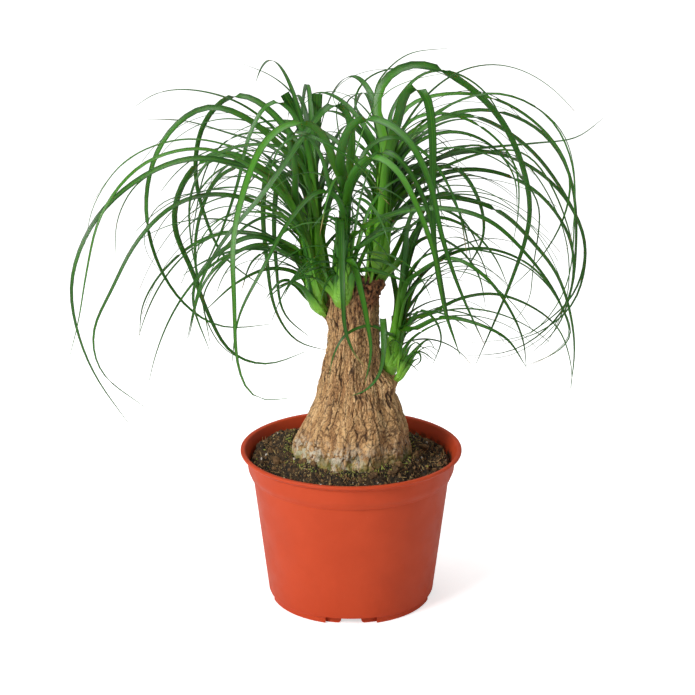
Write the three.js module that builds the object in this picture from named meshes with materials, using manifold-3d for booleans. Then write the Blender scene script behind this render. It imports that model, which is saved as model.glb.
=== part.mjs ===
// Potted ponytail palm: a swollen woody trunk with five heads of long narrow leaves, standing in
// the soil of a round nursery pot. Millimetres, +Z up. The origin is on the floor under the middle
// of the pot, +X is the right of the photograph and -Y is the side that it was taken from.
import * as THREE from "three";
import { mergeVertices } from "three/addons/utils/BufferGeometryUtils.js";
import Module from "manifold-3d";

const wasm = await Module();
wasm.setup();

// Driving sizes of the pot
const POT_HEIGHT = 116.8;
const RIM_RADIUS = 82.5;
const LIP_INNER_RADIUS = 79;
const COLLAR_RADIUS = 78;
const COLLAR_FOOT = 99.4; // height where the collar starts
const COLLAR_FOOT_RADIUS = 76.8;
const BODY_TOP = 94.6; // height where the tapered body ends
const BODY_TOP_RADIUS = 73.1;
const BODY_FOOT_RADIUS = 62.4;
const FOOT_RADIUS = 60.8;
const FOOT_INNER_RADIUS = 57.2;
const FOOT_HEIGHT = 4.2;
const LIP_UNDERSIDE = 4.6; // below the rim, where the lip starts to turn out
const LIP_EDGE = 2; // below the rim, where the lip's upright edge starts
const LIP_CHAMFER = 0.8;
const LIP_SLOPE_FOOT = 6.8; // below the rim, where the inside starts to flare
const FOOT_STEP = 0.8; // height of the step from the foot ring to the body
const FOOT_FLARE = 0.2;
const INNER_STEPS = [0.6, 0.4]; // how much higher the collar's two corners lie on the inside
const WALL = 1.6;
const FLOOR_UNDERSIDE = 6;
const POT_SIDES = 40;

// Driving sizes of the drain notches in the foot
const NOTCH_COUNT = 4;
const NOTCH_WIDTH = 37.6;
const NOTCH_HEIGHT = 5.7;
const WEB_WIDTH = 42;
const WEB_THICKNESS = 2;
const WEB_OVERLAP = 0.5; // how far a web runs into the foot ring and the floor
const WEB_SEGMENTS = 5;
const CUT_DEPTH = 12; // of the boxes that cut the notches and openings
const CUT_INWARDS = 5.2; // how far a notch's box starts inside the foot ring
const OPENING_WIDTH = 15;
const OPENING_HEIGHT = 4.4;
const DRAIN_HOLE_RADIUS = 5;
const DRAIN_HOLE_CIRCLE = 36;
const DRAIN_HOLE_SIDES = 12;
const DRAIN_HOLE_CUT = 8;

// Driving sizes of the soil and the trunk
const SOIL_LEVEL = 101;
const SOIL_SIDES = 32;
const TRUNK_SIDES = 44;
const GAP = 0.3; // between pieces that touch

// The trunk's outline: height, how far its middle lies to the right, radius
const TRUNK_OUTLINE = [
  [54, -1, 22],
  [80, -0.6, 42],
  [104, 0, 45.6],
  [112, 0.2, 44.6],
  [122, 0.9, 42.2],
  [132, 2.1, 39.6],
  [142, 3.7, 35.8],
  [156, 4, 30],
  [163, 3, 27.2],
  [170, 1, 23.6],
  [177, 1, 21.9],
  [185, 1.4, 20.4],
  [206, 2.2, 18.2],
  [216, 1.9, 18.2],
  [221, 1.7, 18.3],
  [236, 1.6, 18.6],
  [242, 1.6, 18.6],
];
// Swellings on it: direction in degrees from +X, height, how far each way, how far they stand out
const TRUNK_SWELLINGS = [
  { towards: -8, height: 170.5, spread: 38, rise: 7, out: 10.5 },
  { towards: 190, height: 221, spread: 34, rise: 5.5, out: 5 },
  { towards: 15, height: 241, spread: 34, rise: 5, out: 5 },
];

// Ridges that run up it: how many around, how they drift with height, where they start, how high
const TRUNK_RIDGES = [
  { around: 7, drift: 0.02, start: 0, out: 0.9 },
  { around: 11, drift: -0.05, start: 1.3, out: 1.2 },
  { around: 3, drift: 0.34, start: -1.57, out: 0.35 },
];
const RIDGES_FROM = 90; // height where they begin to show
const RIDGES_FULL = 125;
const TRUNK_LOWEST = { height: 51, share: 0.35 }; // the root end, and its share of the radius
const SCAR = { height: 246, share: 0.86, floor: 243.5, floorShare: 0.52 }; // the cut on top

// The heaps on the soil: middle, reach each way, rise
const SOIL_HEAPS = [
  { x: -58, y: 22, alongX: 16, alongY: 26, rise: 8 },
  { x: 56, y: 24, alongX: 16, alongY: 24, rise: 6 },
];
const SOIL_COLLAR = { radius: 46, spread: 10, rise: 9 }; // heaped against the trunk
const SOIL_LUMPS = 0.9;
const SOIL_TOP_RINGS = [74.7, 69, 62, 56, 50, 40];

// The eye that the leaves' routes are read from. Each route is a list of [across, up] points on the
// upright plane through the trunk, as seen from here, and is carried to its own depth on the line
// of sight.
const EYE = new THREE.Vector3(-2.7, -1248, 582);

const leaf = (width, depth, ...seen) => ({ width, depth, seen });

// The leafy shoots. core: the sheathed stem, from inside the trunk up, as [x, y, z, radius].
// leaves: width, depth reached (away from the viewer), and the route.
// more: how many others grow by rule, in which directions (degrees from +X), and their lengths.
const SHOOTS = [
  {
    head: "head_left",
    core: [
      [-16, -4, 219.5, 4.5],
      [-22.5, -7, 228.5, 5.8],
      [-25.5, -8, 240, 6.3],
      [-29, -9, 264, 4.8],
      [-35, -10, 286, 3.2],
    ],
    leaves: [
      leaf(7, -100, [-60, 322], [-90, 333], [-115, 335], [-150, 321], [-184, 290],
        [-203, 245], [-200, 205], [-188, 171], [-166, 136]),
      leaf(6, -60, [-62, 300], [-95, 309], [-125, 302], [-153, 276], [-174, 238],
        [-189, 205], [-184, 175], [-153, 148]),
      leaf(5, -110, [-66, 325], [-105, 342], [-148, 331], [-179, 295], [-192, 250],
        [-199, 215], [-207, 187]),
      leaf(6, 20, [-50, 274], [-85, 281], [-112, 273], [-138, 250], [-152, 226], [-155, 203]),
      leaf(7, -30, [-46, 268], [-70, 278], [-95, 266], [-112, 246], [-115, 228], [-104, 192]),
      leaf(6, -55, [-44, 263], [-66, 272], [-92, 260], [-108, 241], [-119, 202]),
      leaf(5, 15, [-40, 260], [-56, 268], [-71, 260], [-80, 237]),
      leaf(5, -10, [-36, 248], [-58, 254], [-82, 244], [-109, 220]),
      leaf(6, -25, [-36, 240], [-50, 245], [-62, 232]),
      leaf(5, 10, [-33, 239], [-44, 243], [-56, 239]),
      leaf(9, 15, [-58, 322], [-85, 338], [-101, 337], [-121, 315], [-127, 285], [-115, 253],
        [-106, 225], [-88, 190], [-62, 181], [-34, 191]),
      leaf(3, -40, [-60, 330], [-112, 349], [-158, 335], [-184, 302], [-192, 272]),
      leaf(4, 30, [-62, 318], [-105, 334], [-150, 319], [-168, 290], [-170, 261]),
      leaf(7, -75, [-40, 330], [-44, 354], [-22, 348], [4, 331], [23, 308]),
    ],
    more: { count: 10, from: 120, to: 245, length: [110, 250], width: [4, 7] },
  },
  {
    head: "head_left",
    core: [
      [-12.5, 1, 217, 5],
      [-19.5, 6, 235, 6.2],
      [-23, 9, 266, 6],
      [-26, 10, 298, 5],
      [-28, 11, 325, 3.2],
    ],
    leaves: [
      leaf(4, 40, [-50, 352], [-80, 375], [-115, 384], [-138, 381], [-152, 372]),
      leaf(8, 55, [-46, 356], [-68, 377], [-84, 380], [-104, 360], [-111, 325], [-104, 290],
        [-92, 263], [-62, 239]),
      leaf(8, -20, [-55, 348], [-80, 367], [-103, 372], [-131, 351], [-146, 312], [-143, 268],
        [-124, 230], [-96, 210], [-60, 212]),
      leaf(6, -35, [-34, 352], [-46, 373], [-56, 377], [-72, 352], [-80, 320], [-92, 285],
        [-110, 247], [-118, 232]),
      leaf(6, 80, [-48, 318], [-72, 330], [-94, 322], [-108, 295], [-113, 262], [-108, 228],
        [-103, 195]),
      leaf(7, 75, [-42, 330], [-56, 334], [-63, 302], [-61, 262], [-55, 222], [-40, 199],
        [-17, 192]),
      leaf(7, 55, [-37, 322], [-49, 325], [-55, 295], [-54, 255], [-49, 220], [-30, 202]),
      leaf(4, 60, [-52, 340], [-90, 354], [-118, 362], [-144, 363]),
      leaf(3, 60, [-34, 360], [-40, 379], [-55, 393], [-76, 402]),
      leaf(8, 20, [-26, 340], [-25, 362], [-24, 381]),
      leaf(7, 30, [-32, 345], [-38, 364], [-47, 381]),
      leaf(5, -60, [-40, 338], [-62, 345], [-96, 338], [-114, 312], [-115, 270], [-109, 238]),
    ],
    more: { count: 11, from: 60, to: 200, length: [150, 300], width: [5, 8] },
  },
  {
    head: "head_front",
    core: [
      [-7, -11, 227, 4.5],
      [-7, -17.5, 238, 5.4],
      [-6, -21, 256, 5.6],
      [-5, -24, 285, 4.2],
      [-4, -26, 306, 3],
    ],
    leaves: [
      leaf(8, -125, [-12, 330], [-24, 357], [-42, 361], [-62, 346], [-76, 314], [-85, 275],
        [-85, 230], [-83, 178], [-72, 154], [-46, 155]),
      leaf(8, -55, [0, 345], [-2, 366], [-12, 376], [-34, 350], [-64, 308], [-92, 275],
        [-109, 244], [-120, 201]),
      leaf(6, -90, [-5, 292], [-12, 309], [-24, 311], [-44, 290], [-64, 254], [-82, 218],
        [-88, 180]),
      leaf(8, -30, [-9, 284], [-8, 293], [-7, 270], [-6, 235], [-4, 206], [5, 185], [13, 178]),
      leaf(7, -32, [-4, 262], [1, 258], [7, 237], [12, 212], [14.5, 190], [10, 166]),
      leaf(7, -22, [2, 250], [13, 253], [28, 249], [44, 242]),
      leaf(9, -120, [-8, 335], [2, 361], [15, 364], [38, 351], [56, 318], [64, 282], [78, 240],
        [98, 196]),
      leaf(8, -95, [2, 325], [15, 337], [32, 327], [48, 298], [60, 265], [68, 222], [80, 188]),
      leaf(7, -50, [6, 325], [24, 341], [38, 330], [53, 303], [62, 262], [72, 212]),
      leaf(7, -40, [8, 284], [36, 296], [72, 298], [100, 289], [128, 263], [150, 233],
        [161, 205]),
      leaf(7, -35, [6, 270], [24, 281], [44, 286]),
      leaf(7, -30, [-6, 280], [-11, 290], [-20, 293], [-29, 283]),
      leaf(6, -45, [-14, 310], [-22, 338], [-34, 352], [-50, 344], [-60, 318]),
      leaf(6, 20, [2, 320], [14, 345], [32, 350], [56, 335], [76, 300], [84, 262]),
    ],
    more: { count: 10, from: 200, to: 340, length: [60, 120], width: [4, 7] },
  },
  {
    head: "head_back",
    core: [
      [14, 7, 232, 6],
      [18.5, 12, 249, 7],
      [21, 15, 275, 6.8],
      [24, 17, 305, 6],
      [26, 18, 332, 4],
    ],
    leaves: [
      leaf(10, 35, [17, 375], [28, 396], [50, 402], [82, 386], [106, 362], [124, 322],
        [128, 290], [116, 245], [92, 182]),
      leaf(10, -55, [33, 362], [41, 387], [51, 384], [57, 355], [58, 310], [60, 268],
        [67, 228], [80, 188]),
      leaf(7, 50, [50, 305], [82, 305], [108, 295], [132, 272], [150, 248], [161, 215],
        [164, 190], [162, 162]),
      leaf(5, 60, [38, 371], [68, 381], [105, 376], [140, 351], [156, 322], [152, 290],
        [134, 258], [112, 236]),
      leaf(3, 20, [50, 361], [98, 382], [138, 366], [157, 332], [160, 290], [156, 240],
        [132, 205], [88, 198]),
      leaf(5, 90, [48, 356], [92, 370], [132, 356], [155, 325], [162, 270], [156, 225],
        [120, 192], [84, 188]),
      leaf(5, 20, [40, 361], [66, 367], [94, 356], [116, 331], [120, 300], [116, 270]),
      leaf(6, 100, [52, 358], [82, 366], [124, 344], [154, 306], [169, 272], [162, 228],
        [138, 206], [112, 197]),
      leaf(6, 10, [45, 345], [72, 354], [98, 345], [116, 322], [119, 295]),
      leaf(6, 70, [50, 318], [88, 327], [128, 314], [156, 280], [161, 248], [150, 208],
        [132, 190]),
      leaf(7, 40, [52, 325], [74, 328], [91, 305], [95, 278], [78, 245]),
      leaf(5, 60, [50, 330], [75, 340], [100, 343], [132, 346], [160, 350], [178, 364]),
      leaf(6, 80, [60, 334], [92, 340], [124, 331], [154, 305], [169, 268], [160, 232],
        [125, 200]),
      leaf(3, 40, [17, 385], [38, 408], [69, 413]),
      leaf(3, 70, [2, 375], [10, 391], [30, 399], [62, 396], [78, 386]),
      leaf(5, 90, [30, 372], [50, 395], [72, 396], [96, 380], [112, 350]),
      leaf(4, 60, [0, 360], [-4, 375], [8, 382], [24, 378]),
    ],
    more: { count: 19, from: -20, to: 150, length: [150, 300], width: [5, 8] },
  },
  {
    head: "head_right",
    core: [
      [24, 1, 166, 5],
      [28, 1.5, 178, 6],
      [32, 1, 200, 5.8],
      [36, 0, 228, 4.8],
      [39, 0, 256, 3.2],
    ],
    leaves: [
      leaf(7, -60, [48, 250], [72, 262], [96, 249], [114, 226], [126, 200], [129, 178]),
      leaf(8, -70, [46, 208], [66, 217], [90, 213], [114, 201], [129, 179]),
      leaf(5, 20, [56, 219], [78, 231], [104, 235], [132, 225], [152, 208], [162, 180],
        [163, 163]),
      leaf(5, -35, [42, 212], [51, 223], [62, 214], [66, 200], [60, 181]),
      leaf(5, 50, [48, 245], [72, 265], [98, 269], [130, 256], [152, 228], [161, 203],
        [150, 190], [130, 181]),
      leaf(6, -45, [26, 205], [14, 211], [-4, 204], [-13, 188], [-16, 173]),
      leaf(8, -45, [24, 205], [23, 217], [24, 192], [20, 172], [9, 160], [0, 157]),
      leaf(5, -20, [44, 200], [60, 211], [74, 216]),
      leaf(7, 15, [46, 282], [60, 292], [84, 284], [104, 262], [114, 240]),
      leaf(6, 40, [44, 270], [56, 278], [76, 270], [92, 250], [98, 225]),
      leaf(7, -15, [40, 280], [44, 296], [56, 300], [80, 290], [96, 262]),
    ],
    more: { count: 11, from: -45, to: 100, length: [90, 190], width: [4, 7] },
  },
  {
    head: "head_small",
    core: [
      [30, -8, 166, 3.4],
      [33.5, -10, 174, 4.6],
      [37, -12, 183, 4],
      [40, -13, 191, 2.4],
    ],
    leaves: [
      leaf(4, -12, [44, 196], [49, 198], [51, 193]),
      leaf(4, -8, [45, 188], [51, 191], [63, 183]),
      leaf(5, -20, [43, 188], [50, 190], [51, 184], [44, 178]),
      leaf(4, 10, [46, 195], [56, 200], [62, 192]),
      leaf(4, -10, [42, 178], [46, 184], [50, 186]),
      leaf(4, -25, [36, 196], [30, 200], [26, 194]),
    ],
    more: { count: 4, from: -110, to: 20, length: [18, 34], width: [3, 4] },
  },
];

// Leaf sizes and growing rule
const LEAF_THICKNESS = 1.2;
const LEAF_TIP_THICKNESS = 0.7;
const LEAF_TIP_WIDTH = 0.8;
const STEP_LENGTH = 64; // one step of a leaf is this long where it is straight
const STEP_BEND = 1.34; // and turns through this angle where it bends
const SHEATHED = 0.22; // the share of a leaf that may touch its neighbours in the same head
const LEAST_ADVANCE = 0.4; // least way that a blade's section stands ahead of the one before it
const TOUCHING = 1e-4; // cubic millimetres shared by solids that only touch
const SLIVER = 0.02; // edges and slivers smaller than this are merged after joining
const FINE_STEPS = 160; // steps that a leaf's curve is measured in
const REACH = 147; // how far the leaves that grow by rule spread from the pot's middle
const FACING = 0.5; // how far a leaf read from the photograph turns its flat to the viewer
const CORE_SIDES = 8;
const ROOTED_FROM = 0.3; // share of the way up the core where a head's lowest leaf roots
const ROOTED_OVER = 0.62; // and how much further up its highest one does
const DEPTH_REACHED = 0.8; // share of a read leaf's way after which it keeps its depth
const SHEATH = { along: 18, alongShare: 0.4, outwards: 6, outwardsShare: 0.15 };
const GROWN_STEPS = 24; // steps of a leaf that grows by rule
const GROWN_SHEATH = 8;
const START_LEAN = { least: 8, lower: 30, varied: 10 }; // degrees, more for the lower leaves
const END_LEAN = { least: 115, varied: 45 };
const LOWEST_TIP = { least: 175, varied: 40 };
const SWAY = 0.5; // how far a leaf's heading and its flat may turn along it, radians
const TWIST = 1.4;
const READ_SHIFTS = [0, 5, -5, 10, -10, 16, -16, 22, -22, 29, -29, 37, -37, 46, -46];
const GROWN_TURNS = [0, 4, -4, 8, -8, 13, -13, 19, -19, 26, -26, 34, -34, 43, -43];

const toRadians = THREE.MathUtils.degToRad;

// A closed three.js geometry as a solid, and back
function toSolid(geometry) {
  const bare = geometry.clone();
  for (const name of Object.keys(bare.attributes)) {
    if (name !== "position") bare.deleteAttribute(name);
  }
  const merged = mergeVertices(bare, 1e-3);
  return new wasm.Manifold(
    new wasm.Mesh({
      numProp: 3,
      vertProperties: new Float32Array(merged.attributes.position.array),
      triVerts: new Uint32Array(merged.index.array),
    }),
  );
}

function toGeometry(solid) {
  const mesh = solid.getMesh();
  const geometry = new THREE.BufferGeometry();
  geometry.setAttribute("position", new THREE.BufferAttribute(mesh.vertProperties, 3));
  geometry.setIndex(new THREE.BufferAttribute(mesh.triVerts, 1));
  geometry.computeVertexNormals();
  return geometry;
}

// A closed skin over rings of points, with a fan over the first and the last ring. The faces of a
// blade's two keel sides are split along the same slant as its flat, so that a twist can't make
// them cross.
function skin(rings, keeled = false) {
  const sides = rings[0].length;
  const points = rings.flat();
  const faces = [];
  for (let ring = 0; ring < rings.length - 1; ring++) {
    for (let side = 0; side < sides; side++) {
      const a = ring * sides + side;
      const b = ring * sides + ((side + 1) % sides);
      if (keeled && side > 0) faces.push(a, b, a + sides, b, b + sides, a + sides);
      else faces.push(a, b, b + sides, a, b + sides, a + sides);
    }
  }
  for (let side = 1; side < sides - 1; side++) {
    faces.push(0, side + 1, side);
    const last = (rings.length - 1) * sides;
    faces.push(last, last + side, last + side + 1);
  }
  const geometry = new THREE.BufferGeometry().setFromPoints(points);
  geometry.setIndex(faces);
  return geometry;
}

// Numbers between 0 and 1 that are the same on every run
function drawsFrom(seed) {
  let state = seed >>> 0;
  return () => {
    state = (state + 0x6d2b79f5) >>> 0;
    let mixed = Math.imul(state ^ (state >>> 15), state | 1);
    mixed = (mixed + Math.imul(mixed ^ (mixed >>> 7), mixed | 61)) ^ mixed;
    return ((mixed ^ (mixed >>> 14)) >>> 0) / 4294967296;
  };
}

// The pot: one turned profile, with the notches and drain holes cut out
function potProfile() {
  const body = new THREE.Path();
  body.moveTo(0, FLOOR_UNDERSIDE);
  body.lineTo(FOOT_INNER_RADIUS, FLOOR_UNDERSIDE);
  body.lineTo(FOOT_INNER_RADIUS, 0);
  body.lineTo(FOOT_RADIUS, 0);
  body.lineTo(FOOT_RADIUS + FOOT_FLARE, FOOT_HEIGHT);
  body.lineTo(BODY_FOOT_RADIUS, FOOT_HEIGHT + FOOT_STEP);
  body.lineTo(BODY_TOP_RADIUS, BODY_TOP);
  body.lineTo(COLLAR_FOOT_RADIUS, COLLAR_FOOT);
  body.lineTo(COLLAR_RADIUS, POT_HEIGHT - LIP_UNDERSIDE);
  body.lineTo(RIM_RADIUS, POT_HEIGHT - LIP_EDGE);
  body.lineTo(RIM_RADIUS, POT_HEIGHT - LIP_CHAMFER);
  body.lineTo(RIM_RADIUS - LIP_CHAMFER, POT_HEIGHT);
  body.lineTo(LIP_INNER_RADIUS, POT_HEIGHT);
  body.lineTo(COLLAR_RADIUS - WALL, POT_HEIGHT - LIP_SLOPE_FOOT);
  body.lineTo(COLLAR_FOOT_RADIUS - WALL, COLLAR_FOOT + INNER_STEPS[0]);
  body.lineTo(BODY_TOP_RADIUS - WALL, BODY_TOP + INNER_STEPS[1]);
  body.lineTo(BODY_FOOT_RADIUS - WALL, FLOOR_UNDERSIDE + WALL);
  body.lineTo(0, FLOOR_UNDERSIDE + WALL);
  return body.getPoints();
}

function turned(profile, sides) {
  return toSolid(new THREE.LatheGeometry(profile, sides)).rotate([90, 0, 0]);
}

function box(width, depth, height, x, y, z) {
  return toSolid(new THREE.BoxGeometry(width, depth, height).translate(x, y, z));
}

// The set-back web behind a notch: a piece of ring with the drain opening in it
function notchWeb() {
  const outer = FOOT_INNER_RADIUS + WEB_OVERLAP;
  const inner = outer - WEB_THICKNESS;
  const half = WEB_WIDTH / 2 / outer;
  const outline = new THREE.Shape();
  outline.absarc(0, 0, outer, -half, half, false);
  outline.absarc(0, 0, inner, half, -half, true);
  outline.closePath();
  const web = toSolid(
    new THREE.ExtrudeGeometry(outline, {
      depth: FLOOR_UNDERSIDE + WEB_OVERLAP,
      bevelEnabled: false,
      curveSegments: WEB_SEGMENTS,
    }),
  );
  const opening = box(CUT_DEPTH, OPENING_WIDTH, OPENING_HEIGHT * 2, outer, 0, 0);
  return web.subtract(opening);
}

function makePot() {
  let pot = turned(potProfile(), POT_SIDES);
  const middle = FOOT_INNER_RADIUS - CUT_INWARDS + CUT_DEPTH / 2;
  const notch = box(CUT_DEPTH, NOTCH_WIDTH, NOTCH_HEIGHT * 2, middle, 0, 0);
  const web = notchWeb();
  const hole = toSolid(
    new THREE.CylinderGeometry(
      DRAIN_HOLE_RADIUS,
      DRAIN_HOLE_RADIUS,
      DRAIN_HOLE_CUT,
      DRAIN_HOLE_SIDES,
    )
      .rotateX(Math.PI / 2)
      .translate(DRAIN_HOLE_CIRCLE, 0, FLOOR_UNDERSIDE),
  );
  const quarter = 360 / NOTCH_COUNT;
  for (let i = 0; i < NOTCH_COUNT; i++) {
    const turn = i * quarter;
    pot = pot.subtract(notch.rotate([0, 0, turn])).add(web.rotate([0, 0, turn]));
    pot = pot.subtract(hole.rotate([0, 0, turn + quarter / 2]));
  }
  return pot;
}

// The trunk: rings that follow its outline, with swellings and upright ridges
function trunkRadius(angle, height, radius) {
  let swollen = radius;
  for (const swelling of TRUNK_SWELLINGS) {
    const towards = toRadians(swelling.towards);
    const away = Math.atan2(Math.sin(angle - towards), Math.cos(angle - towards));
    const around = away / toRadians(swelling.spread);
    const along = (height - swelling.height) / swelling.rise;
    swollen += swelling.out * Math.exp(-around * around - along * along);
  }
  const shown = THREE.MathUtils.smoothstep(height, RIDGES_FROM, RIDGES_FULL);
  const wider = 0.35 + radius / 60;
  for (const ridge of TRUNK_RIDGES) {
    const turn = ridge.around * angle + ridge.drift * height + ridge.start;
    swollen += shown * wider * ridge.out * Math.cos(turn);
  }
  return swollen;
}

function makeTrunk(extra) {
  const rings = TRUNK_OUTLINE.map(([height, across, radius]) =>
    Array.from({ length: TRUNK_SIDES }, (_, side) => {
      const angle = (side / TRUNK_SIDES) * 2 * Math.PI;
      const reach = trunkRadius(angle, height, radius) + extra;
      const x = across + reach * Math.cos(angle);
      const y = reach * Math.sin(angle);
      return new THREE.Vector3(x, y, height);
    }),
  );
  const drawnTo = (ring, [, across], share, height) =>
    ring.map((p) => new THREE.Vector3(across + (p.x - across) * share, p.y * share, height));
  const first = TRUNK_OUTLINE[0];
  const last = TRUNK_OUTLINE[TRUNK_OUTLINE.length - 1];
  const top = rings[rings.length - 1];
  const lowest = drawnTo(rings[0], first, TRUNK_LOWEST.share, TRUNK_LOWEST.height);
  const rim = drawnTo(top, last, SCAR.share, SCAR.height + extra);
  const hollow = drawnTo(top, last, SCAR.floorShare, SCAR.floor + extra);
  return toSolid(skin([lowest, ...rings, rim, hollow]));
}

// The soil: fills the pot, heaped against the trunk and the back, with the trunk's hole in it
function soilTop(x, y) {
  const bump = (away) => Math.exp(-away * away);
  const fromCollar = (Math.hypot(x, y) - SOIL_COLLAR.radius) / SOIL_COLLAR.spread;
  let height = SOIL_LEVEL + SOIL_COLLAR.rise * bump(fromCollar);
  for (const heap of SOIL_HEAPS) {
    height += heap.rise * bump((x - heap.x) / heap.alongX) * bump((y - heap.y) / heap.alongY);
  }
  return height + SOIL_LUMPS * Math.sin(0.21 * x + 0.6) * Math.cos(0.17 * y);
}

function soilRing(radius, heightAt) {
  return Array.from({ length: SOIL_SIDES }, (_, side) => {
    const angle = (side / SOIL_SIDES) * 2 * Math.PI;
    const x = radius * Math.cos(angle);
    const y = radius * Math.sin(angle);
    return new THREE.Vector3(x, y, heightAt(x, y));
  });
}

function makeSoil() {
  const inside = (radius) => radius - WALL - GAP * 1.5;
  const level = (height) => () => height;
  const rings = [
    soilRing(inside(BODY_FOOT_RADIUS) - 0.4, level(FLOOR_UNDERSIDE + WALL + GAP)),
    soilRing(inside(BODY_TOP_RADIUS), level(BODY_TOP + 0.8)),
    soilRing(inside(COLLAR_FOOT_RADIUS) - 0.5, level(COLLAR_FOOT)),
    ...SOIL_TOP_RINGS.map((radius) => soilRing(radius, soilTop)),
  ];
  return toSolid(skin(rings)).subtract(makeTrunk(GAP));
}

// A shoot's sheathed stem, a round stem along the core's points
function coreSolid(core, extra) {
  const places = core.map(([x, y, z]) => new THREE.Vector3(x, y, z));
  const rings = core.map(([, , , radius], i) => {
    const before = places[Math.max(i - 1, 0)];
    const after = places[Math.min(i + 1, places.length - 1)];
    const along = after.clone().sub(before).normalize();
    const across = new THREE.Vector3(0, 1, 0).cross(along).normalize();
    const beside = along.clone().cross(across);
    return Array.from({ length: CORE_SIDES }, (_, side) => {
      const angle = (side / CORE_SIDES) * 2 * Math.PI;
      return places[i]
        .clone()
        .addScaledVector(across, (radius + extra) * Math.cos(angle))
        .addScaledVector(beside, (radius + extra) * Math.sin(angle));
    });
  });
  const end = rings[rings.length - 1];
  const tip = places[places.length - 1].clone().add(new THREE.Vector3(0, 0, 4 + extra));
  const closing = end.map((p) => p.clone().lerp(tip, 0.7));
  return toSolid(skin([...rings, closing]));
}

// The point and direction at a share of the way up a shoot's core
function placeOnCore(core, share) {
  const curve = new THREE.CatmullRomCurve3(core.map(([x, y, z]) => new THREE.Vector3(x, y, z)));
  return { point: curve.getPoint(share), along: curve.getTangent(share) };
}

// A point seen at [across, up] on the upright plane, carried to depth y on the line of sight
function carried([across, up], depth) {
  const share = (depth - EYE.y) / -EYE.y;
  return new THREE.Vector3(across, 0, up).sub(EYE).multiplyScalar(share).add(EYE);
}

function lengthsAlong(points) {
  const lengths = [0];
  for (let i = 1; i < points.length; i++) {
    lengths.push(lengths[i - 1] + points[i].distanceTo(points[i - 1]));
  }
  return lengths;
}

// The route of a leaf read from the photograph: from the core, along its sheath, then as seen
function readRoute(shoot, index, shift) {
  const tops = shoot.leaves.map((row) => Math.max(...row.seen.map(([, up]) => up)));
  const lowest = Math.min(...tops);
  const rise = (tops[index] - lowest) / (Math.max(...tops) - lowest);
  const share = ROOTED_FROM + ROOTED_OVER * rise;
  const { point: root, along } = placeOnCore(shoot.core, share);
  const row = shoot.leaves[index];
  const flat = [new THREE.Vector3(root.x, 0, root.z)];
  row.seen.forEach(([across, up]) => flat.push(new THREE.Vector3(across, 0, up)));
  const lengths = lengthsAlong(flat);
  const total = lengths[lengths.length - 1];
  const seen = row.seen.map((place, i) => {
    const gone = Math.min(1, lengths[i + 1] / total / DEPTH_REACHED);
    const reached = Math.sin((gone * Math.PI) / 2);
    return carried(place, root.y + (row.depth + shift) * reached);
  });
  const first = seen[0].clone().sub(root);
  const sheathEnd = root
    .clone()
    .addScaledVector(along, Math.min(SHEATH.along, first.length() * SHEATH.alongShare))
    .addScaledVector(
      first.clone().normalize(),
      Math.min(SHEATH.outwards, first.length() * SHEATH.outwardsShare),
    );
  return { points: [root, sheathEnd, ...seen], width: row.width, facing: FACING, twist: 0 };
}

// The route of a leaf that grows by rule: up out of its sheath, over in an arch and down
function grownRoute(shoot, shootIndex, index, turn) {
  const draw = drawsFrom(1000 * (shootIndex + 1) + index);
  const between = ([least, most]) => least + (most - least) * draw();
  const { count, from, to } = shoot.more;
  const sector = (to - from) / count;
  const towards = toRadians(from + sector * (index + draw()) + turn);
  const share = ROOTED_FROM + ROOTED_OVER * draw();
  const { point: root, along } = placeOnCore(shoot.core, share);
  const length = between(shoot.more.length);
  const width = between(shoot.more.width);
  const lower = START_LEAN.lower * (1 - share);
  const leanAtStart = toRadians(START_LEAN.least + lower + START_LEAN.varied * draw());
  const leanAtEnd = toRadians(END_LEAN.least + END_LEAN.varied * draw());
  const lowest = LOWEST_TIP.least + LOWEST_TIP.varied * draw();
  const sway = SWAY * (draw() - 0.5);
  const twist = TWIST * (draw() - 0.5);
  const points = [root, root.clone().addScaledVector(along, GROWN_SHEATH)];
  for (let i = 1; i <= GROWN_STEPS; i++) {
    const done = i / GROWN_STEPS;
    const lean = leanAtStart + (leanAtEnd - leanAtStart) * Math.pow(done, 0.8);
    const heading = towards + sway * done;
    const step = new THREE.Vector3(
      Math.sin(lean) * Math.cos(heading),
      Math.sin(lean) * Math.sin(heading),
      Math.cos(lean),
    );
    const next = points[points.length - 1].clone().addScaledVector(step, length / GROWN_STEPS);
    if (next.z < lowest && next.z < root.z && shoot.head !== "head_small") break;
    points.push(next);
  }
  const farthest = Math.max(...points.map((p) => Math.hypot(p.x, p.y)));
  const drawnIn = Math.min(1, REACH / farthest);
  points.forEach((p) => {
    p.x = root.x + (p.x - root.x) * drawnIn;
    p.y = root.y + (p.y - root.y) * drawnIn;
  });
  return { points, width, facing: 0, twist };
}

// Frames along a route: the place, the way along, the way across the flat and the share done
function framesAlong(route) {
  const { points, facing, twist } = route;
  const curve = new THREE.CatmullRomCurve3(points, false, "centripetal");
  const fine = curve.getSpacedPoints(FINE_STEPS);
  const middle = points[Math.floor(points.length * 0.6)];
  const out = new THREE.Vector3(middle.x - points[0].x, middle.y - points[0].y, 0);
  if (out.length() < 1) out.set(0, -1, 0);
  out.normalize();
  const level = new THREE.Vector3(-out.y, out.x, 0);
  return fine.map((place, i) => {
    const ahead = fine[Math.min(i + 1, FINE_STEPS)];
    const behind = fine[Math.max(i - 1, 0)];
    const along = ahead.clone().sub(behind).normalize();
    const share = i / FINE_STEPS;
    const across = level.clone().addScaledVector(along, -level.dot(along)).normalize();
    if (facing > 0) {
      const shown = along.clone().cross(place.clone().sub(EYE)).normalize();
      if (shown.dot(across) < 0) shown.negate();
      across.multiplyScalar(1 - facing).addScaledVector(shown, facing).normalize();
    }
    across.applyAxisAngle(along, twist * share);
    return { place, along, across, share };
  });
}

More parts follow.
